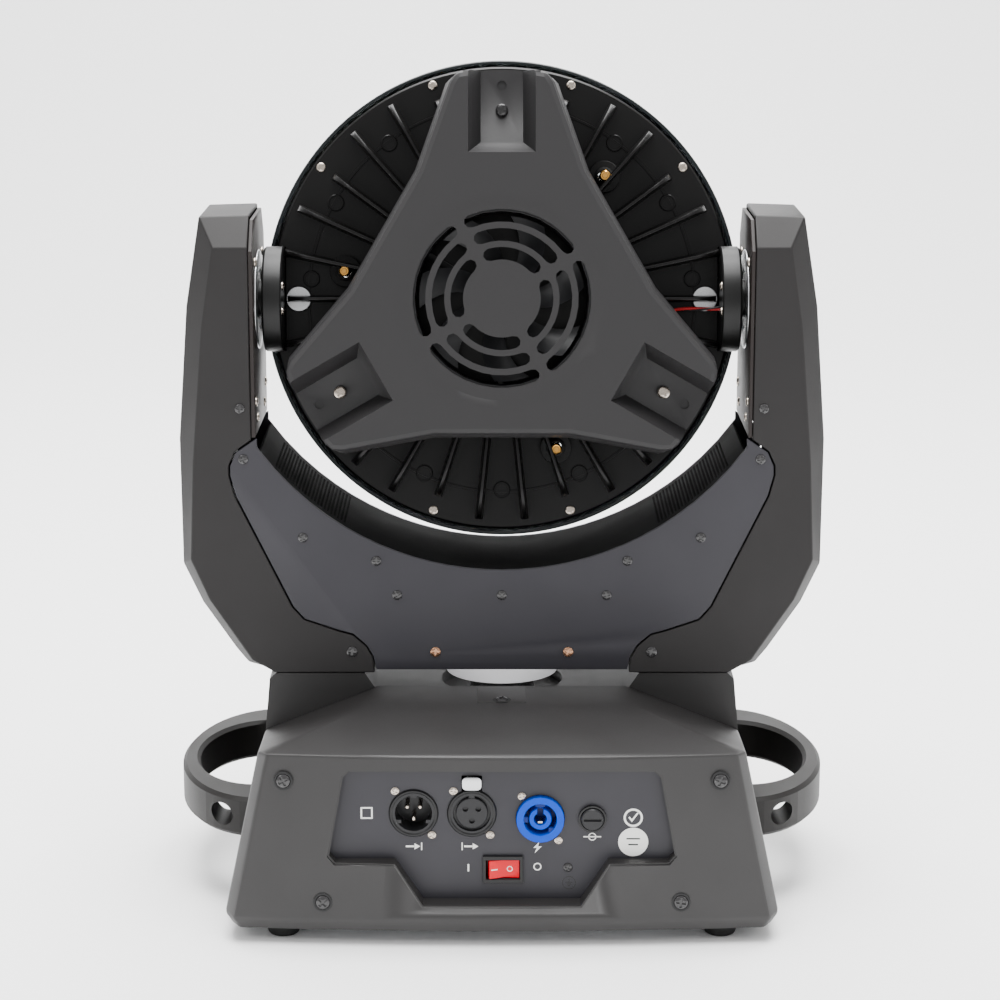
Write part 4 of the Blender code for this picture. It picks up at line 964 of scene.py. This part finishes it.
    def fan(self):
        """Fan ring and a rotor with curved blades."""
        refined(self.frame, "fan_frame", Look.PLASTIC, 0.4, edge_angle=50.0)
        bm = lathe([(0.0, -26.0), (17.5, -26.0), (17.5, -42.6), (16.6, -43.8), (15.0, -44.0), (0.0, -44.0)],
                   "Y", steps=64)
        for k in range(7):
            self.blade(bm, 2.0 * math.pi * k / 7.0)
        self.piece("fan_rotor_skin", bm, Look.INSERT, "plastic_black", ("fan_rotor",), 35.0, "fan_rotor")

    def blade(self, bm, start):
        """One twisted, swept fan blade of even thickness."""
        rows = []
        for i in range(9):
            radius = 16.5 + 27.5 * i / 8.0
            sweep = start + 0.35 * (i / 8.0) ** 1.5
            pitch = math.radians(52.0 - 20.0 * i / 8.0)
            row = []
            for j in range(9):
                s = -1.0 + 2.0 * j / 8.0
                chord = 8.0 + 3.0 * i / 8.0
                along = s * chord * math.cos(pitch)
                depth = -35.0 + s * chord * math.sin(pitch) * 0.8 + 1.6 * (1.0 - s * s)
                angle = sweep + along / radius
                row.append((radius * math.cos(angle), depth, radius * math.sin(angle)))
            rows.append(row)
        top = [[bm.verts.new(p) for p in row] for row in rows]
        under = [[bm.verts.new((x, y + 1.0, z)) for x, y, z in row] for row in rows]
        faces = []
        for i in range(8):
            for j in range(8):
                faces.append(bm.faces.new((top[i][j], top[i][j + 1], top[i + 1][j + 1], top[i + 1][j])))
                faces.append(bm.faces.new((under[i][j], under[i + 1][j], under[i + 1][j + 1], under[i][j + 1])))
        border = ([(0, j) for j in range(9)] + [(i, 8) for i in range(1, 9)]
                  + [(8, j) for j in range(7, -1, -1)] + [(i, 0) for i in range(7, 0, -1)])
        for n, (i, j) in enumerate(border):
            p, q = border[(n + 1) % len(border)]
            faces.append(bm.faces.new((top[i][j], under[i][j], under[p][q], top[p][q])))
        bmesh.ops.recalc_face_normals(bm, faces=faces)

    def ring_and_hubs(self):
        """Outer ring with a rolled rear edge, the two hubs and the tilt pulley."""
        bm = lathe([(127.6, 18.0), (128.2, 17.1), (129.4, 17.1), (130.0, 17.8), (130.0, 43.6), (129.4, 45.2),
                    (128.0, 46.0), (113.0, 46.0), (112.2, 45.2), (112.2, 43.1), (127.6, 43.1)], "Y", steps=160)
        ring = to_object("head_ring_skin", bm, Look.RING)
        for sign in (-1.0, 1.0):
            boolean(ring, prism(circle((0.0, 0.0), 28.8, 48), "X", sign * 117.5, sign * 140.0))
        ring.data.transform(self.matrix)
        adopt(ring, "head", ("head_ring",))
        for side, sign in (("left", -1.0), ("right", 1.0)):
            hub = lathe([(0.0, sign * 118.0), (27.8, sign * 118.0), (28.5, sign * 118.7), (28.5, sign * 127.4),
                         (27.6, sign * 128.5), (10.0, sign * 128.5), (10.0, sign * 149.6), (9.4, sign * 150.0),
                         (0.0, sign * 150.0)], "X", steps=72)
            self.piece(f"head_hub_skin_{side}", hub, Look.HUB, "sink_black", (f"head_hub_{side}",))
            spots = [((sign * 118.0, 20.0 * math.cos(a), 20.0 * math.sin(a)), (-sign, 0.0, 0.0), 2.4)
                     for a in (math.radians(200.0), math.radians(160.0))]
            screws(f"hub_screws_{side}", "head", Look.SCREW_SILVER, spots, self.matrix)
            disc = lathe([(0.0, 4.9), (7.0, 4.9), (7.0, 2.6), (6.5, 2.1), (0.0, 2.1)], "Y",
                         (sign * 110.5, 0.0), 48)
            self.piece(f"pivot_disc_{side}", disc, Look.STEEL, "bare_steel")
        refined(self.frame, "tilt_ring_pulley", Look.ALUMINIUM, 0.3)

    def lens_spots(self):
        """Centres of the lenses in two rings."""
        return ([polar(90.0, 5.0 + 30.0 * k) for k in range(12)]
                + [polar(47.0, 20.0 + 60.0 * k) for k in range(6)])

    def optics(self):
        """LED board with emitters, lens carriage with domed lenses, motor and front glass."""
        refined(self.frame, "led_board", Look.BOARD)
        refined(self.frame, "zoom_motor", Look.STEEL, 0.4)
        chip = soften(prism(rounded_rect(2.6, 2.6, 0.8), "Y", 16.9, 18.0), 0.25, 2)
        unit = to_object("emitter_unit", chip, None)
        spots = [((u, 0.0, v), (0.0, 0.0, 0.0), (1.0, 1.0, 1.0)) for u, v in self.lens_spots()]
        adopt(scatter("led_emitters", unit, spots, Look.LED, self.matrix), "head")
        plate = to_object("lens_carriage_skin", lathe([(0.0, 25.0), (112.0, 25.0), (112.0, 27.4), (111.4, 28.0),
                                                       (0.0, 28.0)], "Y", steps=96), Look.PLASTIC)
        holes = bmesh.new()
        for spot in self.lens_spots():
            prism(circle(spot, 16.4, 40), "Y", 20.0, 35.0, holes)
        for angle in self.rods:
            prism(circle(polar(self.rod_circle, angle), 3.7, 20), "Y", 20.0, 35.0, holes)
        boolean(plate, holes)
        screw = prism(circle((0.0, 0.0), 2.55, 24), "Y", -18.0, 27.0)
        boolean(plate, screw, operation="UNION")
        plate.data.transform(self.matrix)
        adopt(plate, "lens_carriage", ("lens_carriage",))
        dome = [(0.0, 22.2), (6.0, 22.2), (12.0, 24.2), (15.6, 26.4), (16.4, 27.2), (16.4, 28.4), (13.5, 29.3),
                (9.5, 29.8), (4.5, 30.0), (0.0, 30.0)]
        unit = to_object("lens_unit", lathe(dome, "Y", steps=40), None)
        adopt(scatter("lenses", unit, spots, Look.LENS, self.matrix), "lens_carriage")
        glass = lathe([(0.0, 40.3), (116.0, 40.3), (116.5, 40.8), (116.5, 42.3), (116.0, 42.8), (0.0, 42.8)],
                      "Y", steps=96)
        self.piece("front_glass_skin", glass, Look.GLASS, "glass", ("front_glass",))

    def leads(self):
        """A red and a black wire that leave the heatsink towards the right hub and wind round each other."""
        start, span, steps = 63.6, 54.0, 24
        for name, look, shift, radius in (("fan_lead_red", Look.WIRE_RED, 0.0, 0.85),
                                          ("fan_lead_black", Look.WIRE_BLACK, 1.0, 0.5)):
            route = []
            for k in range(steps + 1):
                s = k / steps
                twist = 9.0 * s + shift * math.pi
                route.append((start + span * s, -11.0 + 1.5 * math.sin(5.0 * s) + 0.65 * math.sin(twist),
                              -5.2 - 0.8 * math.sin(3.3 * s) + 0.65 * math.cos(twist)))
            curve = bpy.data.curves.new(name, "CURVE")
            curve.dimensions = "3D"
            curve.bevel_depth = radius * MM
            curve.bevel_resolution = 3
            curve.use_fill_caps = True
            spline = curve.splines.new("POLY")
            spline.points.add(len(route) - 1)
            for point, position in zip(spline.points, route):
                point.co = (*(self.matrix @ (Vector(position) * MM)), 1.0)
            curve.materials.append(make_material(look))
            obj = bpy.data.objects.new(name, curve)
            bpy.context.scene.collection.objects.link(obj)
            adopt(obj, "head", ("fan_lead",) if not shift else ())


# ---------------------------------------------------------------- stage
CAMERA_PLACE = (-0.001, -1.4809, 0.5487)
CAMERA_PITCH = 77.0     # degrees up from straight down
CAMERA_LENS = 99.0
CAMERA_SENSOR = 36.0
SWEEP_HALF_WIDTH = 3.2
SWEEP_BEND_R = 0.8
AIM = Vector((0.0, 0.0, 0.25))


def stage():
    """Pale sweep, soft lights and world."""
    bm = bmesh.new()
    bend = arc((1.6, SWEEP_BEND_R), SWEEP_BEND_R, -90.0, 0.0, 9)
    profile = [(-2.6, 0.0)] + bend + [(1.6 + SWEEP_BEND_R, 2.6)]
    left, right = ([bm.verts.new((side * SWEEP_HALF_WIDTH, y, z)) for y, z in profile] for side in (-1.0, 1.0))
    for i in range(len(profile) - 1):
        bm.faces.new((left[i], right[i], right[i + 1], left[i + 1]))
    mesh = bpy.data.meshes.new("sweep")
    bm.to_mesh(mesh)
    bm.free()
    mesh.shade_smooth()
    floor = bpy.data.objects.new("sweep", mesh)
    bpy.context.scene.collection.objects.link(floor)
    mat = bpy.data.materials.new("sweep_paper")
    mat.use_nodes = True
    shader = mat.node_tree.nodes["Principled BSDF"]
    shader.inputs["Base Color"].default_value = linear("fbfbfb")
    shader.inputs["Roughness"].default_value = 0.9
    mesh.materials.append(mat)

    world = bpy.data.worlds.new("studio")
    bpy.context.scene.world = world
    world.use_nodes = True
    background = world.node_tree.nodes["Background"]
    background.inputs["Color"].default_value = (1.0, 1.0, 1.0, 1.0)
    background.inputs["Strength"].default_value = 1.0

    lights = (("key", (-1.3, -1.5, 1.7), 0.7, 8.5), ("fill", (1.5, -1.3, 1.3), 0.7, 4.5),
              ("top", (0.0, -0.2, 2.1), 1.4, 95.0), ("backdrop", (0.0, 1.0, 2.2), 2.0, 110.0))
    for name, position, size, power in lights:
        light = bpy.data.lights.new(name, "AREA")
        light.size = size
        light.energy = power
        obj = bpy.data.objects.new(name, light)
        bpy.context.scene.collection.objects.link(obj)
        obj.location = position
        obj.rotation_euler = (AIM - Vector(position)).to_track_quat("-Z", "Y").to_euler()


def camera():
    """Camera on the socket side, a little above the lamp."""
    data = bpy.data.cameras.new("camera")
    data.lens = CAMERA_LENS
    data.sensor_width = CAMERA_SENSOR
    obj = bpy.data.objects.new("camera", data)
    bpy.context.scene.collection.objects.link(obj)
    obj.location = CAMERA_PLACE
    obj.rotation_euler = (math.radians(CAMERA_PITCH), 0.0, 0.0)
    bpy.context.scene.camera = obj


def main():
    """Build the looks round the frame."""
    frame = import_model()
    camera()
    Base(frame).build()
    Yoke(frame).build()
    Head(frame).build()
    stage()


if __name__ == "__main__":
    main()
